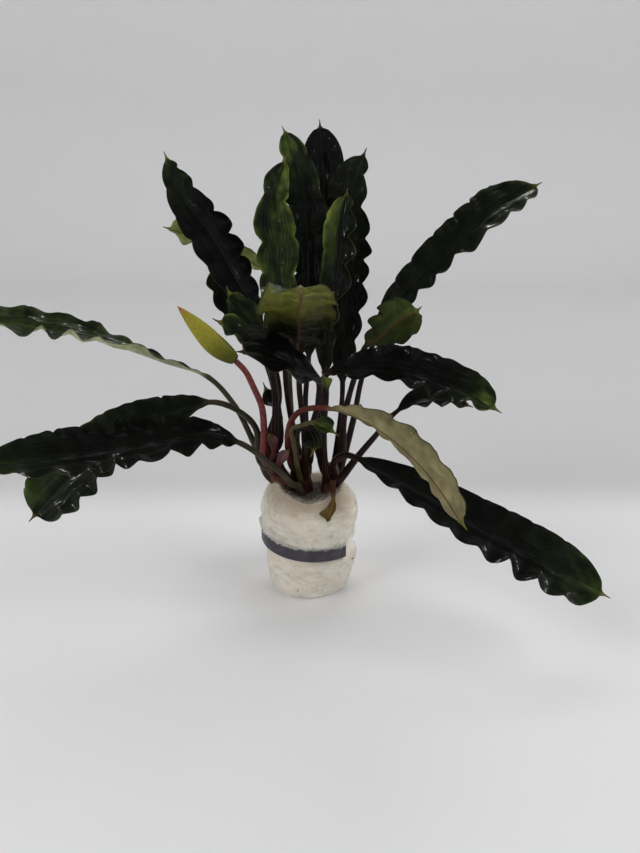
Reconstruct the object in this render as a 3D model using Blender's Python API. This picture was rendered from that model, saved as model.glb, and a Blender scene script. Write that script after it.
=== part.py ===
"""An aquarium plant with long ruffled leaves, held by its rhizomes in a roll of filter wool.

Millimetres in the tables below, metres in the scene. +Z is up and -Y is the front. The origin is the
middle of the roll's flat underside, where the plant stands.
"""

import math
from dataclasses import dataclass

import bmesh
import bpy
import numpy as np

MM = 0.001
CLEARANCE = 0.3  # the gap kept between pieces that touch, mm

# The roll of filter wool
ROLL_HEIGHT = 31.0
ROLL_RADIUS = 13.9
ROLL_FOOT_RADIUS = 10.4
ROLL_LAP = 0.9  # the step where the wool's outer end lies over the turn below, mm
ROLL_LAP_ANGLE = math.radians(-28)
ROLL_SEGMENTS = 40
ROLL_RISE = 1.2  # how much higher the top rim stands at the left, mm
WELL_RADIUS = (9.0, 5.8)  # the opening that the rhizomes stand in, across and deep, mm
WELL_CENTRE = (0.0, 0.3)
WELL_FLOOR = 11.5  # mm

# The soft metal strip
STRIP_WIDTH = 4.0
STRIP_THICKNESS = 0.9
STRIP_HEIGHT = 16.3  # the middle of the strip above the foot, mm
STRIP_RISE = 1.3  # how much higher it runs on the left than in the middle, mm
STRIP_FIRST, STRIP_LAST = math.radians(-40), math.radians(-315)
STRIP_SEGMENTS = 40

# The leaves
RING = 6  # corners of one cross-section
STALK_STATIONS = 6
FOOT_SWELL = 1.2  # a stalk's width where it leaves the rhizome, as a share of its width above
WAVE_LENGTH = 6.2  # one ripple of a leaf's margin, mm
MIDRIB_THICKNESS = 0.9
MARGIN_THICKNESS = 0.45
POINT_LENGTH = 2.2  # the bristle at a leaf's tip, mm
POINT_RADIUS = 0.28

DARK_GREEN = (0.012, 0.022, 0.012)
PALE_GREEN = (0.16, 0.20, 0.06)
RED_BROWN = (0.10, 0.03, 0.02)
RED = (0.36, 0.06, 0.06)
YELLOW_GREEN = (0.45, 0.42, 0.06)
WOOL_WHITE = (0.80, 0.77, 0.68)
LEAD_GREY = (0.20, 0.20, 0.22)
DRY_BROWN = (0.20, 0.11, 0.03)


@dataclass
class Rhizome:
    """A creeping stem: the points of its axis and its radius at the foot and the top, mm."""

    name: str
    axis: list
    radii: tuple


@dataclass
class Leaf:
    """One leaf with its stalk, or another blade-like piece.

    node: height on the rhizome and the side that it springs from, degrees from +X towards +Y.
    stalk, blade: points that the middle line passes through. face: where the upper side looks, at the
    blade's foot and at its tip. ruffle: how far the margin's waves rise and fall. fold: how far the
    margins stand above the midrib. broadest: where the blade is widest, as a share of its length. blunt:
    how full its end is.
    """

    name: str
    rhizome: str
    node: tuple
    stalk: list
    blade: list
    width: float
    face: tuple
    ruffle: float = 1.0
    fold: float = 1.2
    stalk_width: float = 1.4
    broadest: float = 0.6
    blunt: float = 3
    point: float = POINT_LENGTH
    colour: tuple = DARK_GREEN


RHIZOMES = [
    Rhizome("rhizome_left",
            [(-4, -0.8, 12), (-4.2, -0.8, 24), (-5.6, -0.6, 30), (-8.6, -0.5, 35.5), (-11, -0.5, 41),
             (-11, -0.5, 46.5)], (2.2, 1.5)),
    Rhizome("rhizome_middle", [(0.7, 2.2, 12), (-0.5, 2, 24), (-3, 1.8, 40)], (2.0, 1.5)),
    Rhizome("rhizome_right", [(4.2, -0.4, 12), (5.2, -0.4, 24), (7, 2, 38)], (2.1, 1.5)),
]

LEAVES = [
    # The tall leaves at the back
    Leaf("leaf_upper_left", "rhizome_left", (42, 110), [(-8.5, 7.5, 56), (-10, 9, 67)],
         [(-13, 10, 77), (-18, 13, 85), (-27, 17, 100), (-34.5, 19, 110), (-39.5, 20, 122)],
         12.5, ((0.3, -1, 0.2), (0.3, -1, 0.2)), broadest=0.55, blunt=2.4),
    Leaf("leaf_left_behind", "rhizome_left", (36, 100), [(-10, 14, 52), (-12, 17, 61)],
         [(-15, 19, 68), (-19.5, 21, 75), (-24.5, 24, 84), (-29, 27, 92)],
         10, ((0.4, -1, 0.3), (0.4, -1, 0.3))),
    Leaf("leaf_pale_behind", "rhizome_middle", (34, 130), [(-5, 12, 43), (-6, 20, 58), (-7, 26, 75)],
         [(-11, 29, 87), (-21, 32, 94), (-32, 33, 98.5), (-44, 33, 102)],
         10, ((0.2, 0.7, 0.7), (0.2, 0.7, 0.7)), broadest=0.7, colour=PALE_GREEN),
    Leaf("leaf_tall_left", "rhizome_middle", (37, 90), [(-6, 8, 55), (-7, 9, 67)],
         [(-8, 10, 74), (-8, 12, 86), (-9, 15, 99), (-9, 18, 110), (-7, 22, 122)],
         11.5, ((0.1, -1, 0.1), (0.3, -1, 0.1)), colour=PALE_GREEN),
    Leaf("leaf_tall_middle", "rhizome_middle", (35, 50), [(-1, 11, 54), (0, 14, 66)],
         [(0, 16, 74), (0, 20, 92), (-1, 25, 110), (-4, 29, 123), (-6, 32, 130)],
         12, ((0, -1, 0.05), (0, -1, 0.05))),
    Leaf("leaf_tall_back", "rhizome_right", (33, 110), [(2, 14, 40), (4, 20, 51), (6, 25, 63)],
         [(6, 28, 72), (6, 33, 89), (5, 37, 110), (3, 40, 132)],
         12, ((0.1, -1, 0), (0.1, -1, 0)), broadest=0.7),
    Leaf("leaf_tall_right", "rhizome_right", (34, 75), [(9.5, 12, 49), (10, 14, 56)],
         [(10, 16, 64), (11, 20, 79), (12, 24, 96), (12, 28, 111), (15, 30, 124)],
         12, ((-0.3, -1, 0.1), (-0.2, -1, 0.1))),
    Leaf("leaf_green_edged", "rhizome_right", (37, 150), [(4, 5, 56), (5, 7, 67)],
         [(5, 8, 74), (7, 10, 86), (9, 13, 99), (11, 17, 113)],
         9, ((-0.4, -0.9, 0.1), (-0.4, -0.9, 0.1)), broadest=0.7),
    Leaf("leaf_upper_right", "rhizome_right", (36.5, 32), [(13, 6, 50), (15, 7, 61)],
         [(18, 8, 71), (26, 10, 85), (39, 14, 98), (52, 18, 107), (65, 22, 114.5)],
         12, ((-0.3, -1, 0.5), (-0.3, -0.6, 0.7)), broadest=0.7),
    # The short leaves on the left
    Leaf("leaf_short_left", "rhizome_left", (45.5, -10), [(-9, 1, 60), (-11, 1, 71)],
         [(-13, 1, 75), (-17, 2, 82), (-22, 3, 88)],
         7, ((0.2, -1, 0.1), (0.2, -1, 0.1)), ruffle=0.8),
    Leaf("leaf_curled_left", "rhizome_left", (45, -60), [(-9, -3, 62), (-11, -4, 71)],
         [(-13, -5, 74), (-17, -6, 77), (-21, -7, 80), (-24, -8, 81)],
         7, ((0, -0.5, 0.8), (0, -0.5, 0.8)), ruffle=0.8),
    Leaf("leaf_small_dark", "rhizome_left", (45.5, 60), [(-8, 3, 51)],
         [(-9, 3.5, 54), (-11, 3.2, 58), (-12.5, 3, 62)],
         5, ((0.3, -0.9, 0.2), (0.3, -0.9, 0.2)), ruffle=0.4, stalk_width=1.1),
    # The long leaves that lie over to the left
    Leaf("leaf_long_left", "rhizome_left", (35, 178), [(-14, 1.4, 40), (-16, 2, 45), (-21, 2, 56)],
         [(-28, 2, 64), (-40, 0, 69), (-57, -4, 76), (-73, -9, 81), (-86, -14, 82)],
         12, ((0, 0.3, 0.95), (0.1, -0.5, 0.9))),
    Leaf("leaf_drooping_left", "rhizome_left", (40, 200), [(-14.5, -2, 50), (-19, -6.5, 57)],
         [(-25, -9, 60), (-38, -14, 58), (-51, -20, 52), (-60, -26, 44), (-67, -31, 36)],
         17, ((0, -0.5, 0.85), (-0.3, -0.75, 0.6)), broadest=0.75),
    Leaf("leaf_wide_left", "rhizome_middle", (27.5, 262),
         [(-2.8, -4.5, 33.4), (-4.5, -9, 36.5), (-7, -12, 41), (-12, -15, 47)],
         [(-17, -18, 52), (-27, -25, 57), (-42, -33, 57), (-55, -41, 58), (-68, -48, 59)],
         13, ((0, -0.6, 0.8), (0, -0.6, 0.8)), broadest=0.5),
    # The leaves that lie over to the right
    Leaf("leaf_right", "rhizome_right", (37, 200), [(3, -6, 51), (3, -9, 62)],
         [(5, -11, 68), (15, -14, 71), (24, -17, 71), (37, -22, 68), (46, -28, 64)],
         12, ((0, -0.55, 0.83), (0, -0.55, 0.83)), broadest=0.5),
    Leaf("leaf_right_behind", "rhizome_right", (33.5, -15), [(15, 4, 40), (20, 5, 46)],
         [(24, 6, 51), (30, 7, 55), (38, 8, 56), (48, 8, 53)],
         9, ((0, -0.5, 0.85), (0, -0.5, 0.85))),
    Leaf("leaf_pale_underside", "rhizome_middle", (38, 230), [(-5, -10, 53), (-2, -14, 59)],
         [(5, -20, 62), (15, -31, 62), (22, -40, 59), (28, -48, 54), (33, -54, 47)],
         11, ((0.2, 0.8, 0.6), (0.55, 0.75, 0.35)), colour=PALE_GREEN),
    Leaf("leaf_lower_right", "rhizome_right", (36, 290), [(7.4, -6.5, 42), (10, -9, 45)],
         [(13, -11, 45), (28, -17, 39.5), (41, -23, 33.5), (54, -28, 27.5), (68, -33, 21),
          (74.5, -36, 18.8)],
         15.5, ((0.1, -0.55, 0.83), (0.1, -0.55, 0.83)), broadest=0.7),
    # The leaves that come forward
    Leaf("leaf_front", "rhizome_middle", (36, 298), [(-1, -8, 52), (-2, -11, 64), (-2, -13.5, 74)],
         [(-2, -18, 78), (-1.5, -28, 83.5), (-1, -41, 89.5), (0, -55, 94.5), (0, -68, 97.5)],
         15.5, ((0, 0.5, 0.86), (0, 0.2, 0.95)), broadest=0.5, colour=PALE_GREEN),
    Leaf("leaf_front_left", "rhizome_middle", (38.5, 345), [(1, -8, 52), (3, -13, 62)],
         [(2.5, -18, 69.5), (-1, -22.7, 72.8), (-5, -26.5, 75.8), (-10, -30, 78.2), (-15, -33.5, 79.2)],
         12.5, ((0.7, 0, 0.7), (-0.1, -0.6, 0.8))),
    Leaf("leaf_folded_right", "rhizome_right", (37.5, -35), [(10, -3, 54), (13, -4, 67)],
         [(15, -6, 74), (18, -10, 77.5), (22, -15, 82), (27, -23, 87)],
         11, ((0.4, 0.85, 0.3), (0.4, 0.85, 0.3)), ruffle=1.2, colour=PALE_GREEN),
    Leaf("leaf_small_pale", "rhizome_right", (34.5, 240), [(4.5, -10, 52), (5, -12.5, 62)],
         [(5, -13.5, 64.5), (4.6, -14, 67), (3.6, -14.8, 69.8)],
         3.6, ((0.2, 0.9, 0.3), (0.2, 0.9, 0.3)), ruffle=0.3, stalk_width=1.1, colour=PALE_GREEN),
    Leaf("leaf_small_arched", "rhizome_middle", (33, 265),
         [(-3, -8, 42), (-3.5, -13, 50), (-4, -15, 54.5), (-1, -17, 56.5)],
         [(1, -18, 57.5), (4, -19.5, 57.3), (8, -21, 55)],
         4.5, ((-0.7, -0.35, 0.6), (0, -0.6, 0.8)), ruffle=0.3, stalk_width=1.1, colour=PALE_GREEN),
    Leaf("leaf_small_hanging", "rhizome_middle", (33, 215), [(-2.8, -8, 47), (-2.4, -10.5, 52.5)],
         [(-0.8, -12.5, 54.5), (1.6, -14.5, 52), (2, -15.5, 47)],
         5.5, ((-0.3, -0.9, 0.3), (-0.3, -0.9, 0.3)), ruffle=0.4, stalk_width=1.1),
    # The young spathe on its stalk, and what is left of older leaf sheaths
    Leaf("stipule_left", "rhizome_left", (41.5, 290), [(-9, -5, 44)],
         [(-9.2, -5.6, 45.5), (-9.6, -6.2, 48), (-10.6, -7, 50.5)],
         2.8, ((0.3, -0.9, 0.2), (0.3, -0.9, 0.2)), ruffle=0.1, fold=0.6, point=0.8, colour=RED),
    Leaf("stipule_front", "rhizome_left", (38, 275), [(-9, -6, 40)],
         [(-8, -7, 41.5), (-6.6, -7.3, 44), (-5, -7, 46)],
         3.6, ((0, -0.8, 0.5), (0, -0.8, 0.5)), ruffle=0.1, fold=0.8, point=0.8, colour=RED),
    Leaf("dead_sheath", "rhizome_right", (33, 272), [(6.8, -4.5, 34)],
         [(7, -7, 32.9), (6.9, -9.4, 31.0), (6.2, -11.5, 29.0), (5.3, -13.1, 26.9)],
         3.2, ((0, -0.6, 0.8), (0, -0.9, 0.4)), ruffle=0.0, fold=0.1, broadest=0.92, blunt=8, point=0.5,
         stalk_width=1.0, colour=DRY_BROWN),
]

# The spathe's stalk and the closed spathe at its end
SPATHE_NODE = ("rhizome_left", (41, 245))
SPATHE_STALK = [(-12, -4.6, 50), (-12.3, -5, 57), (-14, -7, 63), (-16, -8, 68), (-18.2, -9, 71)]
SPATHE_STALK_RADII = (1.1, 0.75)
SPATHE = [(-18.5, -9.15, 71.4), (-23, -10.5, 75.5), (-26.5, -12, 80), (-31, -14.5, 86)]
SPATHE_WIDTH = 5.4


def unit(v):
    """v at length one."""
    v = np.asarray(v, float)
    return v / np.linalg.norm(v)


def smooth_line(points, steps=24):
    """Points along a smooth curve through the given ones, closely spaced."""
    p = np.asarray(points, float)
    knots = np.concatenate([[0], np.cumsum(np.linalg.norm(np.diff(p, axis=0), axis=1) ** 0.5)])
    slopes = np.gradient(p, knots, axis=0)
    line = []
    for a, b, pa, pb, ma, mb in zip(knots, knots[1:], p, p[1:], slopes, slopes[1:]):
        t = np.linspace(0, 1, steps, endpoint=False)[:, None]
        h = b - a
        line.append((1 + 2 * t) * (1 - t) ** 2 * pa + t * (1 - t) ** 2 * h * ma
                    + t**2 * (3 - 2 * t) * pb + t**2 * (t - 1) * h * mb)
    line.append(p[-1:])
    return np.concatenate(line)


class Spine:
    """A smooth middle line that can be asked for its place and direction at any length along it."""

    def __init__(self, points):
        self.line = smooth_line(points)
        steps = np.linalg.norm(np.diff(self.line, axis=0), axis=1)
        self.lengths = np.concatenate([[0], np.cumsum(steps)])
        self.length = self.lengths[-1]

    def at(self, s):
        """The point at length s, and beyond the ends on a straight line."""
        inside = min(max(s, 0.0), self.length)
        here = np.array([np.interp(inside, self.lengths, self.line[:, k]) for k in range(3)])
        return here + (s - inside) * self.along(inside)

    def along(self, s):
        """The direction at length s."""
        reach = 0.6
        a, b = max(s - reach, 0.0), min(s + reach, self.length)
        ends = [np.array([np.interp(x, self.lengths, self.line[:, k]) for k in range(3)]) for x in (a, b)]
        return unit(ends[1] - ends[0])


def rhizome_side(name, node, reach):
    """The point beside a rhizome at a node, its surface's distance and a further reach from the axis."""
    rhizome = next(r for r in RHIZOMES if r.name == name)
    height, side = node
    line = smooth_line(rhizome.axis)
    middle, ahead = (np.array([*(np.interp(z, line[:, 2], line[:, k]) for k in range(2)), z])
                     for z in (height, height + 0.5))
    share = (height - line[0, 2]) / (line[-1, 2] - line[0, 2])
    radius = rhizome.radii[0] + share * (rhizome.radii[1] - rhizome.radii[0])
    out = np.array([math.cos(math.radians(side)), math.sin(math.radians(side)), 0])
    along = unit(ahead - middle)
    lean = np.linalg.norm(out - along * (out @ along))
    return middle + out * (radius + reach) / lean


def leaf_root(leaf):
    """Where a stalk starts, just clear of the rhizome's side."""
    return rhizome_side(leaf.rhizome, leaf.node, CLEARANCE + FOOT_SWELL * leaf.stalk_width / 2)


def blade_share(leaf, s):
    """The blade's half width at s of its length, as a share of the widest."""
    if s < leaf.broadest:
        return math.sin(math.pi / 2 * s / leaf.broadest) ** 0.65
    fall = (s - leaf.broadest) / (1 - leaf.broadest)
    return math.sqrt(max(0.0, 1 - fall**leaf.blunt))


def leaf_frame(leaf, spine, s, share):
    """Point, side and upper directions of a leaf at length s along its spine."""
    facing = np.asarray(leaf.face[0], float) * (1 - share) + np.asarray(leaf.face[1], float) * share
    along = spine.along(s)
    up = unit(facing - along * (facing @ along))
    return spine.at(s), np.cross(along, up), up


def stalk_ring(leaf, spine, s, radius):
    """A round cross-section of the stalk."""
    centre, side, up = leaf_frame(leaf, spine, s, 0)
    angles = [math.pi * (k + 0.5) * 2 / RING for k in range(RING)]
    return [centre + radius * (math.cos(a) * side + math.sin(a) * up) for a in angles]


def blade_ring(leaf, spine, s, share, wave):
    """A flat cross-section of the blade: right, middle and left of the upper side, then of the lower."""
    centre, side, up = leaf_frame(leaf, spine, s, share)
    part = blade_share(leaf, share)
    half = max(leaf.width / 2 * part, leaf.stalk_width * 0.45)
    rise = leaf.fold * part
    lift = leaf.ruffle * wave * part
    thick_rib = MIDRIB_THICKNESS / 2
    thick_edge = MARGIN_THICKNESS / 2
    right = centre + side * (half - 0.35 * abs(lift)) + up * (rise + lift)
    left = centre - side * (half - 0.35 * abs(lift)) + up * (rise - lift)
    return [right + up * thick_edge, centre + up * thick_rib, left + up * thick_edge,
            left - up * thick_edge, centre - up * thick_rib, right - up * thick_edge]


def leaf_rings(leaf):
    """Every cross-section of a leaf from the stalk's foot to the bristle at the tip."""
    points = [leaf_root(leaf), *leaf.stalk, *leaf.blade]
    spine = Spine(points)
    stalk_length = Spine(points[: len(leaf.stalk) + 2]).length
    blade_length = spine.length - stalk_length - leaf.point
    rings = []
    for k in range(STALK_STATIONS):
        share = k / STALK_STATIONS
        radius = leaf.stalk_width / 2 * (FOOT_SWELL - (FOOT_SWELL - 0.9) * min(1, share * 2))
        rings.append(stalk_ring(leaf, spine, share * stalk_length, radius))
    waves = max(2, round(blade_length / WAVE_LENGTH))
    stations = 2 * waves
    for k in range(stations):
        share = (k + 0.5) / stations
        wave = (-1) ** k
        rings.append(blade_ring(leaf, spine, stalk_length + share * blade_length, share, wave))
    last = stalk_length + blade_length
    rings.append(point_ring(leaf, spine, last, POINT_RADIUS * 1.6))
    rings.append(point_ring(leaf, spine, spine.length, POINT_RADIUS))
    return rings


def point_ring(leaf, spine, s, radius):
    """A round cross-section of the bristle at the tip, in the blade ring's order."""
    centre, side, up = leaf_frame(leaf, spine, s, 1)
    angles = [math.radians(a) for a in (30, 90, 150, 210, 270, 330)]
    return [centre + radius * (math.cos(a) * side + math.sin(a) * up) for a in angles]


def make_material(name, colour, roughness, metallic=0.0):
    """A plain surface of one colour."""
    material = bpy.data.materials.get(name) or bpy.data.materials.new(name)
    material.use_nodes = True
    shader = material.node_tree.nodes["Principled BSDF"]
    shader.inputs["Base Color"].default_value = (*colour, 1)
    shader.inputs["Roughness"].default_value = roughness
    shader.inputs["Metallic"].default_value = metallic
    return material


def add_object(name, bm, material, smooth=True):
    """Turns a bmesh in millimetres into a named object in metres."""
    bmesh.ops.scale(bm, vec=(MM, MM, MM), verts=bm.verts)
    bmesh.ops.recalc_face_normals(bm, faces=bm.faces)
    mesh = bpy.data.meshes.new(name)
    bm.to_mesh(mesh)
    bm.free()
    mesh.materials.append(material)
    if smooth:
        mesh.shade_smooth()
        mesh.set_sharp_from_angle(angle=math.radians(50))
    made = bpy.data.objects.new(name, mesh)
    bpy.context.scene.collection.objects.link(made)
    return made


def loft(rings):
    """A closed body through rings with the same number of corners, capped at both ends.

    A leaf's upper and lower sides are cut into triangles alike, so that its thin walls keep their distance.
    """
    bm = bmesh.new()
    loops = [[bm.verts.new(p) for p in ring] for ring in rings]
    count = len(loops[0])
    for a, b in zip(loops, loops[1:]):
        for k in range(count):
            n = (k + 1) % count
            if count != RING:
                bm.faces.new((a[k], a[n], b[n], b[k]))
            elif k % 3 == 0:
                bm.faces.new((a[k], a[n], b[n]))
                bm.faces.new((a[k], b[n], b[k]))
            else:
                bm.faces.new((a[k], a[n], b[k]))
                bm.faces.new((a[n], b[n], b[k]))
    bm.faces.new(loops[0][::-1])
    bm.faces.new(loops[-1])
    return bm


def make_leaf(leaf):
    """A leaf with its stalk as one closed body."""
    materials = {DARK_GREEN: "leaf_dark", PALE_GREEN: "leaf_pale", RED: "stipule", DRY_BROWN: "dead_sheath"}
    material = make_material(materials[leaf.colour], leaf.colour, 0.35)
    add_object(leaf.name, loft(leaf_rings(leaf)), material)


def make_rhizome(rhizome, stations=9, corners=10):
    """A creeping stem with a rounded top."""
    spine = Spine(rhizome.axis)
    lengths = [*np.linspace(0, spine.length - 0.8, stations), spine.length]
    rings = []
    for s in lengths:
        radius = rhizome.radii[0] + s / spine.length * (rhizome.radii[1] - rhizome.radii[0])
        if s == spine.length:
            radius *= 0.6
        centre, along = spine.at(s), spine.along(s)
        side = unit(np.cross(along, (0, 1, 0)))
        other = np.cross(along, side)
        rings.append([centre + radius * (math.cos(a) * side + math.sin(a) * other)
                      for a in np.linspace(0, 2 * math.pi, corners, endpoint=False)])
    add_object(rhizome.name, loft(rings), make_material("rhizome", RED_BROWN, 0.5))


def roll_profile():
    """Heights of the roll and its radius there: drawn in by the strip and rounded at both rims."""
    return [(0, ROLL_FOOT_RADIUS), (1, 11.3), (3, 11.9), (7, 12.4), (11, 12.8), (14, 12.5), (18, 12.5),
            (20, 13.0), (22.5, 13.6), (25, ROLL_RADIUS), (27.5, 13.2), (29.5, 11.8), (ROLL_HEIGHT, 9.9)]


def roll_radius(height, angle):
    """The roll's outer radius, with a lap where the wool ends."""
    profile = roll_profile()
    radius = np.interp(height, [p[0] for p in profile], [p[1] for p in profile])
    turn = (angle - ROLL_LAP_ANGLE) % (2 * math.pi) / (2 * math.pi)
    return radius + ROLL_LAP * (0.5 - turn)


def roll_rise(height, angle):
    """How much the wool's top rim stands higher at the left."""
    near_top = max(0.0, (height - 22) / (ROLL_HEIGHT - 22))
    return ROLL_RISE * near_top**2 * max(0.0, -math.cos(angle))


def make_roll():
    """The roll of wool with its well for the rhizomes."""
    angles = np.linspace(0, 2 * math.pi, ROLL_SEGMENTS, endpoint=False) + ROLL_LAP_ANGLE
    rings = [[(roll_radius(z, a) * math.cos(a), roll_radius(z, a) * math.sin(a), z + roll_rise(z, a))
              for a in angles] for z, _ in roll_profile()]
    for z, grow in ((ROLL_HEIGHT - 0.7, 1.0), (ROLL_HEIGHT - 4, 0.97), (WELL_FLOOR, 0.8)):
        rings.append([(WELL_CENTRE[0] + WELL_RADIUS[0] * grow * math.cos(a),
                       WELL_CENTRE[1] + WELL_RADIUS[1] * grow * math.sin(a), z + roll_rise(z, a))
                      for a in angles])
    add_object("wool_roll", loft(rings), make_material("wool", WOOL_WHITE, 0.95))


def make_strip():
    """The soft metal strip round the roll's waist, open at the right."""
    rings = []
    for k in range(STRIP_SEGMENTS + 1):
        angle = STRIP_FIRST + (STRIP_LAST - STRIP_FIRST) * k / STRIP_SEGMENTS
        middle = STRIP_HEIGHT - STRIP_RISE * math.cos(angle)
        low, high = middle - STRIP_WIDTH / 2, middle + STRIP_WIDTH / 2
        inner = max(roll_radius(z, angle) for z in np.linspace(low - 0.5, high + 0.5, 9)) + CLEARANCE
        outer = inner + STRIP_THICKNESS
        rings.append([(r * math.cos(angle), r * math.sin(angle), z)
                      for r, z in ((inner, low), (outer, low), (outer, high), (inner, high))])
    add_object("metal_strip", loft(rings), make_material("metal_strip", LEAD_GREY, 0.45, 0.7), smooth=False)


def tube(spine, radii, shape, stations, corners, squash=1.0):
    """Round cross-sections along a spine; shape gives the radius's share at each share of the length."""
    rings = []
    for k in range(stations):
        share = k / (stations - 1)
        radius = (radii[0] + share * (radii[1] - radii[0])) * shape(share)
        centre, along = spine.at(share * spine.length), spine.along(share * spine.length)
        side = unit(np.cross(along, (0, -1, 0)))
        other = np.cross(along, side) * squash
        rings.append([centre + radius * (math.cos(a) * side + math.sin(a) * other)
                      for a in np.linspace(0, 2 * math.pi, corners, endpoint=False)])
    return rings


def make_spathe():
    """The red stalk and the closed yellow-green spathe on it."""
    root = rhizome_side(*SPATHE_NODE, CLEARANCE + SPATHE_STALK_RADII[0])
    stalk = tube(Spine([root, *SPATHE_STALK]), SPATHE_STALK_RADII, lambda s: 1.0, 12, 8)
    add_object("flower_stalk", loft(stalk), make_material("flower_stalk", RED, 0.4))

    def bud(s):
        return max(0.1, abs(math.sin(math.pi * (0.06 + 0.94 * s) ** 0.7)) ** 0.8)

    spathe = tube(Spine(SPATHE), (SPATHE_WIDTH / 2,) * 2, bud, 14, 10, 0.85)
    add_object("flower_spathe", loft(spathe), make_material("flower_spathe", YELLOW_GREEN, 0.4))


def main():
    """Builds every piece."""
    for old in list(bpy.data.objects):
        bpy.data.objects.remove(old, do_unlink=True)
    make_roll()
    make_strip()
    for rhizome in RHIZOMES:
        make_rhizome(rhizome)
    for leaf in LEAVES:
        make_leaf(leaf)
    make_spathe()


main()
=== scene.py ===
"""A potted bucephalandra: wet, dark, ruffled leaves on rhizomes that a roll of filter wool holds.

Millimetres in the tables and shapes below, metres in the scene. +Z is up, -Y is the front and the origin
is the middle of the roll's underside, as in the frame.
"""

import math
import random
from dataclasses import dataclass

import bmesh
import bpy
import numpy as np
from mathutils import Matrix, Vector, noise


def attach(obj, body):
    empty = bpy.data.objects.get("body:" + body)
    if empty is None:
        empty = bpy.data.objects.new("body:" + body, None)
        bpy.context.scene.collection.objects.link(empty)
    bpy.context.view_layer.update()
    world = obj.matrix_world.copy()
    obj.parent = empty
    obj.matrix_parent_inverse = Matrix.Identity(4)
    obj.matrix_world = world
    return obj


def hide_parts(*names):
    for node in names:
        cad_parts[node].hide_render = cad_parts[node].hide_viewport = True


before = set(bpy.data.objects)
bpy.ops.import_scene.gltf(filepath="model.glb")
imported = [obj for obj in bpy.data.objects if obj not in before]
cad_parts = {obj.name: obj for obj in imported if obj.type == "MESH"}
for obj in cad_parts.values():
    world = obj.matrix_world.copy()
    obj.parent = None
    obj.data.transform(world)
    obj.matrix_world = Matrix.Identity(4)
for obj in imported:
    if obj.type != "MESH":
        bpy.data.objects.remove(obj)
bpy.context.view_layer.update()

MM = 0.001
CLEARANCE = 0.3

# The surrounding's light, dimmer overhead
HORIZON = (0.62, 0.62, 0.64, 1)
ZENITH = (0.12, 0.12, 0.13, 1)

# The camera, read from the photograph's horizon and the roll
CAMERA_PLACE = (3.3, -169.2, 111.5)
CAMERA_PITCH = 70.0  # degrees up from straight down
FOCAL_PIXELS = 641
IMAGE_HEIGHT = 853
SENSOR = 36.0

# The roll of filter wool
ROLL_HEIGHT = 31.0
ROLL_LAP = 0.9
ROLL_LAP_ANGLE = math.radians(-28)
ROLL_RISE = (3.2, 0.9, -1.2)  # how much higher the rim stands at the left, at the right and in front, mm
DIMPLE = 1.6  # how far the wool's top sinks among the stems, mm
ROLL_CORNERS = 220
TOP_RINGS = (0.96, 0.9, 0.82, 0.72, 0.62, 0.52, 0.42, 0.32, 0.22, 0.12, 0.05)  # shares of the rim's radius
ROLL_PROFILE = [(0, 10.4), (1, 11.3), (3, 11.9), (7, 12.4), (11, 12.8), (14, 12.5), (18, 12.5),
                (20, 13.0), (22.5, 13.6), (25, 13.9), (27.5, 13.2), (29.5, 11.8), (ROLL_HEIGHT, 9.9)]

# The wool's loose end: its direction and width, its height, its reach up and down, and how far it bulges
END_ANGLE, END_WIDTH = math.radians(-8), math.radians(20)
END_HEIGHT, END_REACH, END_BULGE = 13.0, 6.5, 0.9

# The wool's colours, its dark grains (angle and height) and how many strands stand off it
WOOL = np.array((0.88, 0.825, 0.715))
WOOL_STAINED = np.array((0.36, 0.25, 0.13))
ROOT_BROWN, ROOT_LIGHT = np.array((0.030, 0.016, 0.009)), np.array((0.06, 0.03, 0.015))
SPECKS = ((math.radians(-22), 10.5), (math.radians(-105), 3.6))
SPECK_BLACK = np.array((0.01, 0.008, 0.006))
SIDE_STRANDS, FRINGE_STRANDS, LOW_STRANDS, TOP_STRANDS, ROOT_STRANDS = 5200, 1900, 400, 3000, 60

# The soft metal strip
STRIP_WIDTH = 4.0
STRIP_THICKNESS = 0.9
STRIP_HEIGHT = 16.3
STRIP_RISE = 1.3
STRIP_FIRST, STRIP_LAST = math.radians(-40), math.radians(-315)
STRIP_STATIONS, STRIP_CORNER = 150, 0.16

# The stems' colours and the spathe's, from its foot to its tip
BARK_DARK, BARK_RED = (0.022, 0.009, 0.006), (0.13, 0.038, 0.020)
STALK_DARK, STALK_RED = (0.075, 0.016, 0.014), (0.17, 0.035, 0.032)
SPATHE_COLOURS = ((0.085, 0.085, 0.008), (0.34, 0.285, 0.030), (0.36, 0.12, 0.045))

# The stage: the floor's half width, how far back it reaches, its bend up into the wall, and the wall's top
FLOOR_HALF, FLOOR_REACH, FLOOR_BEND, WALL_HEIGHT = 3000.0, 900.0, 260.0, 1600.0
FLOOR_END = (38.0, 75.0)  # how far behind the roll the pale floor fades into painted shade, mm
FLOOR_WHITE = 0.86
# How dark the painted shade behind the plant makes the floor, standing in for a shaded wall
FAR_PAINTED_SHADE = 0.74

# The leaves, mm where nothing else is said
FOOT_SWELL = 1.2
FOOT_DEPTH = 3.5  # how far below its node a stalk starts inside the rhizome
CLASP_LENGTH = 11.0  # how soon a stalk narrows above its foot
CROWN_LENGTH = 7.0  # how soon the crown's red fades up a stalk
CROWN_RED = (0.034, 0.009, 0.007)
POINT_LENGTH = 2.2
POINT_RADIUS = 0.28
ACROSS = (0.0, 0.04, 0.1, 0.17, 0.25, 0.33, 0.41, 0.49, 0.57, 0.65, 0.73, 0.81, 0.88, 0.94, 1.0)
FLAT_SHARE = 0.62  # the share of each half that stays flat where the margin rolls
LOBE_REACH, NICK_REACH = 0.85, 0.18  # how far the margin's waves and small nicks go out and in
PILLOW_RISE, PLEAT_RISE, PLEAT_LENGTH = 0.40, 0.16, 2.1
RIB_WIDTH, RIB_GROOVE, RIB_KEEL = 0.62, 0.40, 0.34  # the midrib: sunk above, raised below
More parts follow.
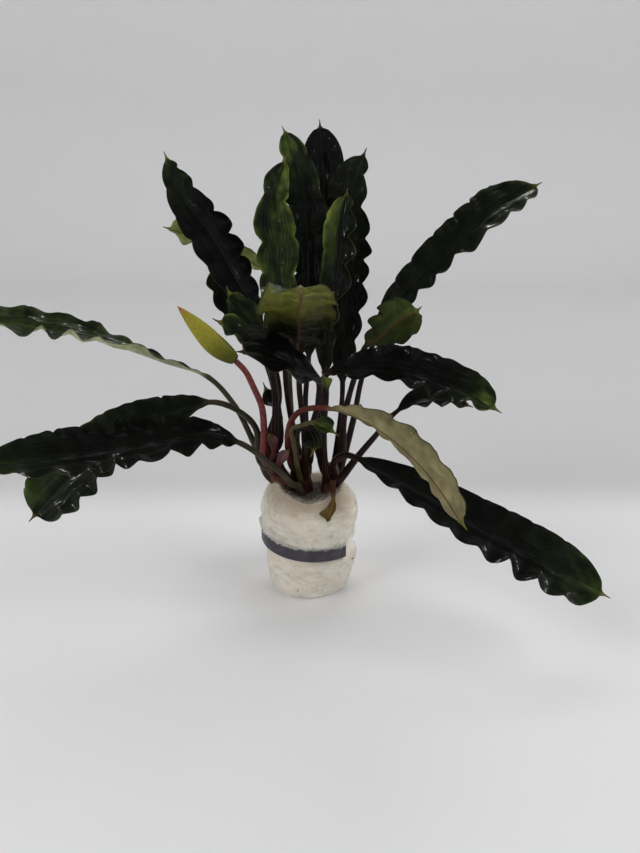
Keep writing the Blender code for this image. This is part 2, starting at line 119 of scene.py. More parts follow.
MARGIN_THICKNESS, MIDDLE_THICKNESS = 0.14, 0.38  # the blade's
RIB_BROWN, EDGE_BROWN = (0.075, 0.032, 0.014, 1), (0.020, 0.016, 0.008, 1)

# Greens of the upper side, from near black to yellow-green
GREEN_STEPS = (0.0, 0.3, 0.6, 1.0)
GREENS = ((0.0026, 0.0030, 0.0027), (0.0070, 0.0100, 0.0040), (0.024, 0.036, 0.009), (0.12, 0.15, 0.03))


@dataclass
class Rhizome:
    """A creeping stem: the points of its axis and its radius at the foot and the top."""

    axis: list
    radii: tuple


@dataclass
class Look:
    """The colours of one leaf.

    green, tip, edge: how green its upper side is all over, more at the tip and more along the margin.
    left, right: how much greener each half is. veins: how plainly pale veins show. under: the colour of its
    lower side, and foot how far painted shade darkens that towards the stalk. stalk: the stalk's colour.
    """

    green: float = 0.08
    tip: float = 0.35
    edge: float = 0.12
    left: float = 0.0
    right: float = 0.0
    veins: float = 0.1
    under: tuple = (0.07, 0.08, 0.03)
    foot: float = 0.0
    stalk: tuple = (0.014, 0.008, 0.007)


@dataclass
class Habit:
    """How one leaf's margins run, left and right as one looks at its upper side with the tip up.

    left, right: how strong the waves are. length: from one lobe to the next, mm. roll: how far each margin
    rolls towards the upper side, as a share of a quarter turn. shoulder: how much fuller each half is near
    the tip. hook: how far the tip turns to the right, mm. bend: how far the blade sways, mm. taper: how
    late the blade widens, 1 as in the frame. lift: how far the waves rise and dip, mm. early: how far
    below the frame's blade the blade's narrow foot starts, mm.
    """

    left: float
    right: float
    length: float
    roll: tuple = (0.15, 0.15)
    shoulder: tuple = (0.0, 0.0)
    hook: float = 0.0
    bend: float = 0.5
    taper: float = 1.0
    lift: float = 1.0
    early: float = 0.0


@dataclass
class Leaf:
    """One leaf with its stalk, or another blade-like piece, along the frame's middle line.

    node: height on the rhizome and the side it springs from, degrees from +X towards +Y. stalk, blade:
    points that the middle line passes through. face: where the upper side looks, one direction for all of
    the blade or one for its foot and one for its tip.
    """

    name: str
    rhizome: str
    node: tuple
    stalk: list
    blade: list
    width: float
    face: list
    look: Look
    habit: Habit
    ruffle: float = 1.0
    fold: float = 1.2
    stalk_width: float = 1.4
    broadest: float = 0.6
    blunt: float = 3
    point: float = POINT_LENGTH
    slot: str = "leaf_dark"


RHIZOMES = {
    "left": Rhizome([(-4, -0.8, 12), (-4.2, -0.8, 24), (-5.6, -0.6, 30), (-8.6, -0.5, 35.5), (-11, -0.5, 41),
                     (-11, -0.5, 46.5)], (2.2, 1.5)),
    "middle": Rhizome([(0.7, 2.2, 12), (-0.5, 2, 24), (-3, 1.8, 40)], (2.0, 1.5)),
    "right": Rhizome([(4.2, -0.4, 12), (5.2, -0.4, 24), (7, 2, 38)], (2.1, 1.5)),
}

REDDISH = (0.085, 0.020, 0.015)
OLIVE_STALK = (0.038, 0.032, 0.020)
LEAVES = [
    # The tall leaves at the back
    Leaf("leaf_upper_left", "left", (42, 110), [(-8.5, 7.5, 56), (-10, 9, 67)],
         [(-13, 10, 77), (-18, 13, 85), (-27, 17, 100), (-34.5, 19, 110), (-39.5, 20, 122)], 12.5,
         [(0.3, -1, 0.2)], Look(green=0.02, tip=0.45, edge=0.05),
         Habit(0.45, 1.5, 7.0, (0.1, 0.1), (-0.2, -0.25), 0.2, 0.8), broadest=0.55, blunt=2.4),
    Leaf("leaf_left_behind", "left", (36, 100), [(-10, 14, 52), (-12, 17, 61)],
         [(-15, 19, 68), (-19.5, 21, 75), (-24.5, 24, 84), (-29, 27, 92)], 10, [(0.4, -1, 0.3)],
         Look(green=0.12, tip=0.3, edge=0.25, veins=0.3), Habit(0.8, 1.1, 6.5, (0.2, 0.4))),
    Leaf("leaf_pale_behind", "middle", (34, 130), [(-5, 12, 43), (-6, 20, 58), (-7, 26, 75)],
         [(-11, 29, 87), (-21, 32, 94), (-32, 33, 98.5), (-44, 33, 102)], 10, [(0.2, 0.7, 0.7)],
         Look(green=0.85, under=(0.17, 0.20, 0.055), stalk=OLIVE_STALK),
         Habit(0.7, 0.8, 7.0, (0.1, 0.1), (0.3, 0.3)), broadest=0.7, slot="leaf_pale"),
    Leaf("leaf_tall_left", "middle", (37, 90), [(-6, 8, 55), (-7, 9, 67)],
         [(-8, 10, 74), (-8, 12, 86), (-9, 15, 99), (-9, 18, 110), (-7, 22, 122)], 11.5,
         [(0.1, -1, 0.1), (0.3, -1, 0.1)],
         Look(green=0.42, tip=0.1, edge=0.30, left=-0.15, right=0.14, veins=1.0),
         Habit(1.2, 0.9, 10.0, (0.2, 0.6), (-0.3, -0.3), 1.4, 1.6, taper=0.9, early=5.0),
         slot="leaf_pale"),
    Leaf("leaf_tall_middle", "middle", (35, 50), [(-1, 11, 54), (0, 14, 66)],
         [(0, 16, 74), (0, 20, 92), (-1, 25, 110), (-4, 29, 123), (-6, 32, 130)], 12, [(0, -1, 0.05)],
         Look(green=0.05, tip=0.55, edge=0.3, left=0.1, veins=0.35),
         Habit(1.2, 1.0, 8.0, (0.5, 0.2), (-0.15, -0.2), -1.8, 1.2, taper=0.8, early=8.0)),
    Leaf("leaf_tall_back", "right", (33, 110), [(2, 14, 40), (4, 20, 51), (6, 25, 63)],
         [(6, 28, 72), (6, 33, 89), (5, 37, 110), (3, 40, 132)], 12, [(0.1, -1, 0)],
         Look(green=0.0, tip=0.0, edge=0.0, veins=0.0),
         Habit(0.35, 0.35, 9.0, (0.1, 0.1), (0.1, 0.1), 0.2, 0.1, taper=0.9, lift=0.7, early=6.0),
         broadest=0.7),
    Leaf("leaf_tall_right", "right", (34, 75), [(9.5, 12, 49), (10, 14, 56)],
         [(10, 16, 64), (11, 20, 79), (12, 24, 96), (12, 28, 111), (15, 30, 124)], 12,
         [(-0.3, -1, 0.1), (-0.2, -1, 0.1)], Look(tip=0.15, edge=0.05),
         Habit(0.9, 1.0, 7.5, (0.2, 0.3), (0.35, -0.25), 1.8, 1.0, taper=0.8, early=6.0)),
    Leaf("leaf_green_edged", "right", (37, 150), [(4, 5, 56), (5, 7, 67)],
         [(5, 8, 74), (7, 10, 86), (9, 13, 99), (11, 17, 113)], 9, [(-0.4, -0.9, 0.1)],
         Look(green=0.04, tip=0.15, edge=0.35, left=0.55, veins=0.2),
         Habit(0.8, 1.1, 8.0, (0.3, 0.7), (0.1, -0.1), 0.2, 1.2, taper=0.7, early=11.0), broadest=0.7),
    Leaf("leaf_upper_right", "right", (36.5, 32), [(13, 6, 50), (15, 7, 61)],
         [(18, 8, 71), (26, 10, 85), (39, 14, 98), (52, 18, 107), (65, 22, 114.5)], 12,
         [(-0.3, -1, 0.5), (-0.3, -0.6, 0.7)], Look(green=0.12, tip=0.3, edge=0.2, right=0.1, veins=0.3),
         Habit(1.0, 0.9, 7.5, (0.2, 0.5), (0.25, 0.0), 0.8, 0.8, lift=0.8), broadest=0.7),
    # The short leaves on the left
    Leaf("leaf_short_left", "left", (45.5, -10), [(-9, 1, 60), (-11, 1, 71)],
         [(-13, 1, 75), (-17, 2, 82), (-22, 3, 88)], 7, [(0.2, -1, 0.1)],
         Look(green=0.3, tip=0.3, edge=0.2),
         Habit(0.8, 0.7, 5.5, (0.3, 0.6), (-0.2, -0.2), 0.5, 0.6, taper=1.5), ruffle=0.8),
    Leaf("leaf_curled_left", "left", (45, -60), [(-9, -3, 62), (-11, -4, 71)],
         [(-13, -5, 74), (-17, -6, 77), (-21, -7, 80), (-24, -8, 81)], 7, [(0, -0.5, 0.8)],
         Look(green=0.25, edge=0.3), Habit(0.9, 0.9, 5.0, (0.9, 0.5), (0.2, 0.2), 0.5, 0.6, taper=1.5),
         ruffle=0.8),
    Leaf("leaf_small_dark", "left", (45.5, 60), [(-8, 3, 51)],
         [(-9, 3.5, 54), (-11, 3.2, 58), (-12.5, 3, 62)], 5, [(0.3, -0.9, 0.2)], Look(green=0.05),
         Habit(0.3, 0.3, 6.0, (0.5, 0.4), (-0.2, -0.2), bend=0.2, taper=2.0), ruffle=0.4,
         stalk_width=1.1),
    # The long leaves that lie over to the left
    Leaf("leaf_long_left", "left", (35, 178), [(-14, 1.4, 40), (-16, 2, 45), (-21, 2, 56)],
         [(-28, 2, 64), (-40, 0, 69), (-57, -4, 76), (-73, -9, 81), (-86, -14, 82)], 12,
         [(0, 0.3, 0.95), (0.1, -0.5, 0.9)],
         Look(green=0.42, tip=0.3, edge=0.1, under=(0.33, 0.35, 0.20), stalk=OLIVE_STALK),
         Habit(1.2, 1.1, 8.5, (0.7, 0.4), (0, 0.1), bend=0.8, taper=1.3)),
    Leaf("leaf_drooping_left", "left", (40, 200), [(-14.5, -2, 50), (-19, -6.5, 57)],
         [(-25, -9, 60), (-38, -14, 58), (-51, -20, 52), (-60, -26, 44), (-67, -31, 36)], 17,
         [(0, -0.5, 0.85), (-0.3, -0.75, 0.6)],
         Look(green=0.16, tip=0.18, edge=0.2, right=0.2, veins=0.0, stalk=OLIVE_STALK),
         Habit(1.2, 1.4, 7.0, (0.4, 0.3), (0.1, 0.1), 0.6, 0.6, lift=0.8), broadest=0.75),
    Leaf("leaf_wide_left", "middle", (27.5, 262),
         [(-2.8, -4.5, 33.4), (-4.5, -9, 36.5), (-7, -12, 41), (-12, -15, 47)],
         [(-17, -18, 52), (-27, -25, 57), (-42, -33, 57), (-55, -41, 58), (-68, -48, 59)], 13,
         [(0, -0.6, 0.8)], Look(green=0.05, tip=0.3, edge=0.10, stalk=OLIVE_STALK),
         Habit(1.0, 1.5, 6.5, bend=0.6, lift=0.7), broadest=0.5),
    # The leaves that lie over to the right
    Leaf("leaf_right", "right", (37, 200), [(3, -6, 51), (3, -9, 62)],
         [(5, -11, 68), (15, -14, 71), (24, -17, 71), (37, -22, 68), (46, -28, 64)], 12,
         [(0, -0.55, 0.83)], Look(green=0.03, tip=0.7, edge=0.05),
         Habit(1.0, 1.1, 7.0, (0.3, 0.15), (0.1, -0.1), 0.8, 0.6, lift=0.8), broadest=0.5),
    Leaf("leaf_right_behind", "right", (33.5, -15), [(15, 4, 40), (20, 5, 46)],
         [(24, 6, 51), (30, 7, 55), (38, 8, 56), (48, 8, 53)], 9, [(0, -0.5, 0.85)],
         Look(green=0.06, tip=0.1), Habit(0.7, 0.8, 6.5, (0.4, 0.3), (-0.2, -0.3), taper=2.4, lift=0.5)),
    Leaf("leaf_pale_underside", "middle", (38, 230), [(-5, -10, 53), (-2, -14, 59)],
         [(5, -20, 62), (15, -31, 62), (22, -40, 59), (28, -48, 54), (33, -54, 47)], 11,
         [(0.2, 0.8, 0.6), (0.55, 0.75, 0.35)],
         Look(green=0.2, under=(0.165, 0.145, 0.072), stalk=REDDISH),
         Habit(0.4, 1.15, 6.5, (0.3, 0.45), (-0.1, -0.1), 0.6, 0.4, taper=1.5), slot="leaf_pale"),
    Leaf("leaf_lower_right", "right", (36, 290), [(7.4, -6.5, 42), (10, -9, 45)],
         [(13, -11, 45), (28, -17, 39.5), (41, -23, 33.5), (54, -28, 27.5), (68, -33, 21),
          (74.5, -36, 18.8)],
         15.5, [(0.1, -0.55, 0.83)], Look(green=0.03, tip=0.5, edge=0.06, left=0.05),
         Habit(0.45, 1.15, 8.0, (0.1, 0.12), (0.1, 0.08), 0.5, lift=0.55), broadest=0.7),
    # The leaves that come forward
    Leaf("leaf_front", "middle", (36, 298), [(-1, -8, 52), (-2, -11, 64), (-2, -13.5, 74)],
         [(-2, -18, 78), (-1.5, -28, 83.5), (-1, -41, 89.5), (0, -55, 94.5), (0, -68, 97.5)], 15.5,
         # foot: painted shade on the lower side towards the stalk
         [(0, 0.5, 0.86), (0, 0.2, 0.95)], Look(green=0.4, under=(0.115, 0.122, 0.017), foot=0.97),
         Habit(0.4, 0.8, 10.5, (-0.8, -0.55), (-0.14, -0.02), bend=0.4, taper=0.3, lift=2.0, early=6.0),
         broadest=0.5, slot="leaf_pale"),
    Leaf("leaf_front_left", "middle", (38.5, 345), [(1, -8, 52), (3, -13, 62)],
         [(2.5, -18, 69.5), (-1, -22.7, 72.8), (-5, -26.5, 75.8), (-10, -30, 78.2), (-15, -33.5, 79.2)],
         12.5, [(0.35, -0.45, 0.8), (-0.1, -0.6, 0.8)], Look(green=0.02, tip=0.1, edge=0.15),
         Habit(0.7, 0.7, 7.0, (0.1, 0.1), (0.1, 0.45), taper=0.7, lift=0.8, early=0.5)),
    Leaf("leaf_folded_right", "right", (37.5, -35), [(10, -3, 54), (13, -4, 67)],
         [(15, -6, 74), (18, -10, 77.5), (22, -15, 82), (27, -23, 87)], 11, [(0.4, 0.85, 0.3)],
         # foot: painted shade on the lower side towards the stalk
         Look(green=0.2, under=(0.040, 0.055, 0.013), foot=0.55),
         Habit(0.6, 1.1, 6.0, (0.1, -0.4), (-0.25, 0.1), 0.4, 0.8, taper=1.3, lift=0.8), ruffle=1.2,
         slot="leaf_pale"),
    Leaf("leaf_small_pale", "right", (34.5, 240), [(4.5, -10, 52), (5, -12.5, 62)],
         [(5, -13.5, 64.5), (4.6, -14, 67), (3.6, -14.8, 69.8)], 3.6, [(0.2, 0.9, 0.3)],
         Look(green=0.5, under=(0.085, 0.11, 0.022)),
         Habit(0.4, 0.4, 4.0, (0.3, 0.2), bend=0.2, taper=1.5), ruffle=0.3, stalk_width=1.1,
         slot="leaf_pale"),
    Leaf("leaf_small_arched", "middle", (33, 265),
         [(-3, -8, 42), (-3.5, -13, 50), (-4, -15, 54.5), (-1, -17, 56.5)],
         [(1, -18, 57.5), (4, -19.5, 57.3), (8, -21, 55)], 4.5, [(-0.7, -0.35, 0.6), (0, -0.6, 0.8)],
         Look(green=0.55, tip=0.1, edge=0.1, stalk=(0.055, 0.045, 0.018)),
         Habit(0.4, 0.4, 5.0, (0.7, 0.3), bend=0.2, taper=1.8), ruffle=0.3, stalk_width=1.1,
         slot="leaf_pale"),
    Leaf("leaf_small_hanging", "middle", (33, 215), [(-2.8, -8, 47), (-2.4, -10.5, 52.5)],
         [(-0.8, -12.5, 54.5), (1.6, -14.5, 52), (2, -15.5, 47)], 5.5, [(-0.3, -0.9, 0.3)],
         Look(green=0.05, edge=0.25, left=0.2),
         Habit(0.4, 0.4, 5.0, (0.4, 0.6), (0, 0), 0.3, 0.2, taper=1.5), ruffle=0.4, stalk_width=1.1),
    # What is left of older leaf sheaths
    Leaf("stipule_left", "left", (41.5, 290), [(-9, -5, 44)],
         [(-9.2, -5.6, 45.5), (-9.6, -6.2, 48), (-10.6, -7, 50.5)], 2.8, [(0.3, -0.9, 0.2)],
         Look(under=(0.10, 0.050, 0.048), stalk=(0.05, 0.015, 0.012)),
         Habit(0.1, 0.1, 5.0, (1.2, 1.2), bend=0.1, taper=0.8), ruffle=0.1, fold=0.6, point=0.8,
         slot="stipule"),
    Leaf("stipule_front", "left", (38, 275), [(-9, -6, 40)],
         [(-8, -7, 41.5), (-6.6, -7.3, 44), (-5, -7, 46)], 3.6, [(0, -0.8, 0.5)],
         Look(under=(0.12, 0.060, 0.062), stalk=(0.05, 0.015, 0.012)),
         Habit(0.1, 0.1, 5.0, (1.0, 1.2), (-0.2, -0.2), bend=0.1, taper=0.8), ruffle=0.1, fold=0.8,
         point=0.8, slot="stipule"),
    Leaf("dead_sheath", "right", (33, 272), [(6.8, -4.5, 34)],
         [(7, -7, 32.9), (6.9, -9.4, 31.0), (6.2, -11.5, 29.0), (5.3, -13.1, 26.9)], 3.2,
         [(0, -0.6, 0.8), (0, -0.9, 0.4)], Look(under=(0.125, 0.080, 0.028), stalk=(0.06, 0.030, 0.014)),
         Habit(0.1, 0.1, 5.0, (0.2, 0.2), (-0.6, 0.8), bend=0.1, taper=2.0, lift=0.3), ruffle=0.0,
         fold=0.1, broadest=0.92, blunt=8, point=0.5, stalk_width=1.0, slot="dead_sheath"),
]


# The spathe's stalk and the closed spathe at its end
SPATHE_RHIZOME, SPATHE_NODE = "left", (41, 245)
SPATHE_STALK = [(-12, -4.6, 50), (-12.3, -5, 57), (-14, -7, 63), (-16, -8, 68), (-18.2, -9, 71)]
SPATHE_STALK_RADII = (1.1, 0.75)
SPATHE = [(-18.5, -9.15, 71.4), (-23, -10.5, 75.5), (-26.5, -12, 80), (-31, -14.5, 86)]
SPATHE_WIDTH = 5.4


# Curves and numbers

def unit(v):
    """v at length one."""
    v = np.asarray(v, float)
    return v / np.linalg.norm(v)


def ease(x, low, high):
    """0 below low, 1 above high, and a smooth rise between them."""
    t = min(1.0, max(0.0, (x - low) / (high - low)))
    return t * t * (3 - 2 * t)


def blend(a, b, share):
    """The colour or direction at a share of the way from a to b."""
    return np.asarray(a) * (1 - share) + np.asarray(b) * share


def rough(x, y, z, seed):
    """Smooth noise from -1 to 1 at a point."""
    return noise.noise(Vector((x + 17.3 * seed, y - 9.1 * seed, z + 3.7 * seed)))


def around(radius, angle):
    """X and Y at that radius and angle."""
    return radius * math.cos(angle), radius * math.sin(angle)


def smooth_line(points, steps=24):
    """Closely spaced points along a smooth curve through the given ones."""
    p = np.asarray(points, float)
    knots = np.concatenate([[0], np.cumsum(np.linalg.norm(np.diff(p, axis=0), axis=1) ** 0.5)])
    slopes = np.gradient(p, knots, axis=0)
    line = []
    for a, b, pa, pb, ma, mb in zip(knots, knots[1:], p, p[1:], slopes, slopes[1:]):
        t = np.linspace(0, 1, steps, endpoint=False)[:, None]
        h = b - a
        line.append((1 + 2 * t) * (1 - t) ** 2 * pa + t * (1 - t) ** 2 * h * ma
                    + t**2 * (3 - 2 * t) * pb + t**2 * (t - 1) * h * mb)
    line.append(p[-1:])
    return np.concatenate(line)


class Spine:
    """A smooth middle line that can be asked for its place and direction at any length along it."""

    def __init__(self, points):
        self.line = smooth_line(points)
        steps = np.linalg.norm(np.diff(self.line, axis=0), axis=1)
        self.lengths = np.concatenate([[0], np.cumsum(steps)])
        self.length = self.lengths[-1]

    def at(self, s):
        """The point at length s, and beyond the ends on a straight line."""
        inside = min(max(s, 0.0), self.length)
        here = np.array([np.interp(inside, self.lengths, self.line[:, k]) for k in range(3)])
        return here + (s - inside) * self.along(inside)

    def along(self, s):
        """The direction at length s."""
        reach = 0.6
        a, b = max(s - reach, 0.0), min(s + reach, self.length)
        ends = [np.array([np.interp(x, self.lengths, self.line[:, k]) for k in range(3)]) for x in (a, b)]
        return unit(ends[1] - ends[0])


def inside_rhizome(rhizome, height):
    """The point on a rhizome's axis at a height."""
    line = smooth_line(rhizome.axis)
    return np.array([*(np.interp(height, line[:, 2], line[:, k]) for k in range(2)), height])


def rhizome_side(rhizome, node, reach):
    """The point beside a rhizome at a node, its surface's distance and a further reach from the axis."""
    height, side = node
    line = smooth_line(rhizome.axis)
    middle, ahead = (inside_rhizome(rhizome, z) for z in (height, height + 0.5))
    share = (height - line[0, 2]) / (line[-1, 2] - line[0, 2])
    radius = rhizome.radii[0] + share * (rhizome.radii[1] - rhizome.radii[0])
    out = np.array([*around(1, math.radians(side)), 0])
    along = unit(ahead - middle)
    lean = np.linalg.norm(out - along * (out @ along))
    return middle + out * (radius + reach) / lean


# Meshes

def loft_faces(rings, corners):
    """The faces between rings of corners, with a cap at each end."""
    faces = []
    for r in range(rings - 1):
        a, b = r * corners, (r + 1) * corners
        for k in range(corners):
            n = (k + 1) % corners
            faces.append((a + k, a + n, b + n, b + k))
    faces.append(tuple(range(corners))[::-1])
    faces.append(tuple(range((rings - 1) * corners, rings * corners)))
    return faces


def add_piece(name, points, faces, material, smooth=60):
    """A mesh object from points in millimetres, facing out."""
    mesh = bpy.data.meshes.new(name)
    mesh.from_pydata([tuple(p) for p in np.asarray(points) * MM], [], faces)
    bm = bmesh.new()
    bm.from_mesh(mesh)
    bmesh.ops.recalc_face_normals(bm, faces=bm.faces)
    bm.to_mesh(mesh)
    bm.free()
    mesh.materials.append(material)
    mesh.shade_smooth()
    mesh.set_sharp_from_angle(angle=math.radians(smooth))
    made = bpy.data.objects.new(name, mesh)
    bpy.context.scene.collection.objects.link(made)
    return made


def paint(piece, **attributes):
    """Writes one vector for each point into named attributes; tint is a colour."""
    for name, values in attributes.items():
        values = np.asarray(values, float)
        if name == "tint":
            layer = piece.data.attributes.new(name, "FLOAT_COLOR", "POINT")
            values = np.column_stack([values, np.ones(len(values))])
            layer.data.foreach_set("color", values.ravel())
        else:
            layer = piece.data.attributes.new(name, "FLOAT_VECTOR", "POINT")
            layer.data.foreach_set("vector", values.ravel())


def place(piece, slot, *nodes):
    """Sets a piece on the frame's root and hides the frame's parts that it stands for; slot is not used."""
    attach(piece, "root")
    if nodes:
        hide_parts(*nodes)


# Materials

class Nodes:
    """A small builder for one tree of nodes."""

    def __init__(self, tree):
        self.tree = tree

    def put(self, socket, value):
        """Links a node's output to a socket, or sets the socket's value."""
        if isinstance(value, bpy.types.NodeSocket):
            self.tree.links.new(value, socket)
        else:
            socket.default_value = value

    def node(self, kind, inputs, **settings):
        made = self.tree.nodes.new(kind)
        for key, value in settings.items():
            setattr(made, key, value)
        for key, value in inputs.items():
            self.put(made.inputs[key], value)
        return made

    def attribute(self, name, output):
        return self.node("ShaderNodeAttribute", {}, attribute_name=name).outputs[output]

    def split(self, vector):
        return self.node("ShaderNodeSeparateXYZ", {0: vector}).outputs

    def math(self, operation, a, b=0.0):
        return self.node("ShaderNodeMath", {0: a, 1: b}, operation=operation).outputs[0]

    def times(self, a, b):
        return self.math("MULTIPLY", a, b)

    def plus(self, a, b):
        return self.math("ADD", a, b)

    def ramp(self, value, low, high, start=0.0, end=1.0):
        """value from low to high becomes start to end, smoothly."""
        inputs = {"Value": value, "From Min": low, "From Max": high, "To Min": start, "To Max": end}
        return self.node("ShaderNodeMapRange", inputs, interpolation_type="SMOOTHSTEP").outputs[0]

    def noise(self, size, detail=3.0, vector=None, stretch=(1, 1, 1)):
        """Noise whose features are about that many millimetres across."""
        where = vector or self.node("ShaderNodeTexCoord", {}).outputs["Object"]
        if stretch != (1, 1, 1):
            where = self.node("ShaderNodeMapping", {"Vector": where, "Scale": stretch}).outputs[0]
        scale = 1 / (size * MM) if vector is None else 1 / size
        inputs = {"Vector": where, "Scale": scale, "Detail": detail}
        return self.node("ShaderNodeTexNoise", inputs).outputs["Fac"]

    def mix(self, share, a, b, mode="MIX"):
        inputs = {0: share, 6: a, 7: b}
        return self.node("ShaderNodeMix", inputs, data_type="RGBA", blend_type=mode).outputs[2]

    def scaled(self, colour, red, green=None, blue=None):
        """A colour made lighter or darker, by one factor or by one for each part."""
        return self.mix(1.0, colour, (red, green or red, blue or red, 1), "MULTIPLY")

    def bump(self, height, distance, strength=1.0, normal=None):
        inputs = {"Height": height, "Distance": distance * MM, "Strength": strength}
        if normal:
            inputs["Normal"] = normal
        return self.node("ShaderNodeBump", inputs).outputs[0]


class Shader(Nodes):
    """The nodes of one material."""

    def __init__(self, name, **sockets):
        self.material = bpy.data.materials.new(name)
        self.material.use_nodes = True
        super().__init__(self.material.node_tree)
        self.surface = self.tree.nodes["Principled BSDF"]
        for socket, value in sockets.items():
            self.set(socket.replace("_", " "), value)

    def set(self, socket, value):
        """Sets or links one of the surface's sockets."""
        self.put(self.surface.inputs[socket], value)


def leaf_relief(shade, where, off_share, line, streaks):
    """A film of water over ridges and crinkles, and finer veins and streaks under it."""
    ridges = shade.noise(1.0, 1.0, where, (1.0, 0.07, 0.0))
    crinkles = shade.times(shade.noise(1.2, 1.0), shade.ramp(off_share, 0.45, 0.9, 0.1, 1.1))
    film = shade.bump(shade.plus(ridges, crinkles), 0.08, 0.9)
    fine = shade.plus(shade.times(line, 0.4), shade.times(streaks, 0.3))
    fine = shade.plus(fine, shade.times(shade.noise(0.35, 2.0), 0.2))
    shade.set("Normal", shade.bump(fine, 0.16, 0.8, film))
    shade.set("Coat Normal", film)


def leaf_material(name, roughness, coat):
    """Living leaf: tint holds its colours; place is mm across, mm along and share across."""
    shade = Shader(name, Coat_Weight=coat, Coat_Roughness=0.09, IOR=1.35, Specular_IOR_Level=0.1)
    tint = shade.attribute("tint", "Color")
    where = shade.attribute("place", "Vector")
    across, _, share = shade.split(where)
    lower, stalk, veins = shade.split(shade.attribute("kind", "Vector"))
    upper, blade = (shade.math("SUBTRACT", 1.0, part) for part in (lower, stalk))
    off_middle, off_share = (shade.math("ABSOLUTE", place) for place in (across, share))
    streaks = shade.noise(0.5, 3.0, where, (1.0, 0.12, 0.0))

    # Parallel side veins that fade towards the margin, the midrib and the edge
    bent = shade.plus(off_share, shade.times(shade.noise(4.0, 1.0, where), 0.10))
    line = shade.times(shade.ramp(shade.math("PINGPONG", bent, 0.085), 0.018, 0.004), blade)
    line = shade.times(line, shade.ramp(off_share, 0.95, 0.6))
    rib = shade.times(shade.ramp(off_middle, 0.42, 0.16), blade)
    edge = shade.times(shade.ramp(off_share, 0.94, 0.985), blade)

    # Patches and streaks, pale veins, and a midrib that is pale above and brown below
    patches = shade.ramp(shade.noise(3.5), 0.3, 0.7)
    colour = shade.mix(patches, shade.scaled(tint, 0.72), shade.scaled(tint, 1.28))
    colour = shade.mix(shade.times(shade.ramp(streaks, 0.45, 0.75), 0.35), colour, shade.scaled(colour, 1.7))
    colour = shade.mix(shade.times(line, veins), colour, shade.scaled(colour, 2.6, 2.5, 1.9))
    above, below = shade.times(rib, upper), shade.times(rib, lower)
    colour = shade.mix(shade.times(above, 0.5), colour, shade.scaled(colour, 2.2, 2.2, 1.8))
    colour = shade.mix(shade.times(below, 0.8), colour, RIB_BROWN)
    shade.set("Base Color", shade.mix(shade.times(shade.times(edge, lower), 0.75), colour, EDGE_BROWN))

    spread = shade.ramp(shade.noise(1.6, 4.0), 0.35, 0.7, roughness - 0.06, roughness + 0.16)
    shade.set("Roughness", shade.plus(spread, shade.times(lower, 0.16)))
    leaf_relief(shade, where, off_share, line, streaks)
    return shade.material


def plant_material(name, roughness, coat, bump=0.12, fleck=1.0):
    """Stems: tint holds the colour, with darker flecks and a fine roughness."""
    shade = Shader(name, Coat_Weight=coat, Coat_Roughness=0.15, IOR=1.42, Specular_IOR_Level=0.2)
    tint = shade.attribute("tint", "Color")
    flecks = shade.ramp(shade.noise(0.8, 5.0), 0.35, 0.65)
    dark, light = shade.scaled(tint, 1 - 0.4 * fleck), shade.scaled(tint, 1 + 0.3 * fleck)
    shade.set("Base Color", shade.mix(flecks, dark, light))
    shade.set("Roughness", shade.ramp(shade.noise(1.1, 3.0), 0.3, 0.7, roughness - 0.1, roughness + 0.15))
    shade.set("Normal", shade.bump(shade.noise(0.45, 3.0), bump))
    return shade.material


def wool_material(name):
    """Filter wool: cream, matt, a little translucent, with matted fibres and stains in tint."""
    shade = Shader(name, Specular_IOR_Level=0.2, Sheen_Weight=0.35, Sheen_Roughness=0.5,
                   Subsurface_Weight=0.6, Subsurface_Scale=0.004, Subsurface_Radius=(1.0, 0.8, 0.6))
    tint = shade.attribute("tint", "Color")
    clumps = shade.noise(4.5, 3.0)
    fibres = shade.noise(0.22, 5.0, None, (1.0, 1.0, 0.4))
    colour = shade.mix(shade.ramp(clumps, 0.3, 0.7), shade.scaled(tint, 0.95, 0.93, 0.90), tint)
    dark = shade.scaled(colour, 0.75)
    shade.set("Base Color", shade.mix(shade.ramp(fibres, 0.3, 0.6, 0.12, 0.0), colour, dark))
    shade.set("Roughness", shade.ramp(clumps, 0.3, 0.7, 0.85, 1.0))
    shade.set("Normal", shade.bump(shade.plus(shade.times(clumps, 0.5), fibres), 0.13, 0.5))
    return shade.material


def strip_material(name):
    """Soft grey metal with a dull skin, scuffed round the strip and lighter in patches."""
    shade = Shader(name, Metallic=0.55)
    scuffs = shade.noise(0.9, 5.0, None, (1.0, 1.0, 3.5))
    bloom = shade.noise(4.0, 3.0)
    colour = shade.mix(shade.ramp(bloom, 0.35, 0.7), (0.056, 0.050, 0.062, 1), (0.085, 0.078, 0.092, 1))
    colour = shade.mix(shade.ramp(scuffs, 0.55, 0.75, 0.0, 0.4), colour, (0.15, 0.14, 0.155, 1))
    shade.set("Base Color", colour)
    shade.set("Roughness", shade.ramp(scuffs, 0.3, 0.7, 0.36, 0.58))
    shade.set("Normal", shade.bump(shade.plus(scuffs, bloom), 0.12, 0.6))
    return shade.material


# The leaves

def blade_share(leaf, s):
    """The blade's half width at s of its length, as a share of the widest."""
    if s < leaf.broadest:
        return math.sin(math.pi / 2 * max(s, 0.0) / leaf.broadest) ** 0.65
    fall = (s - leaf.broadest) / (1 - leaf.broadest)
    return math.sqrt(max(0.0, 1 - fall**leaf.blunt))


def leaf_frame(leaf, spine, s, share):
    """Point, side and upper directions of a leaf at length s along its spine."""
    facing = blend(leaf.face[0], leaf.face[-1], share)
    along = spine.along(s)
    up = unit(facing - along * (facing @ along))
    return spine.at(s), np.cross(along, up), up


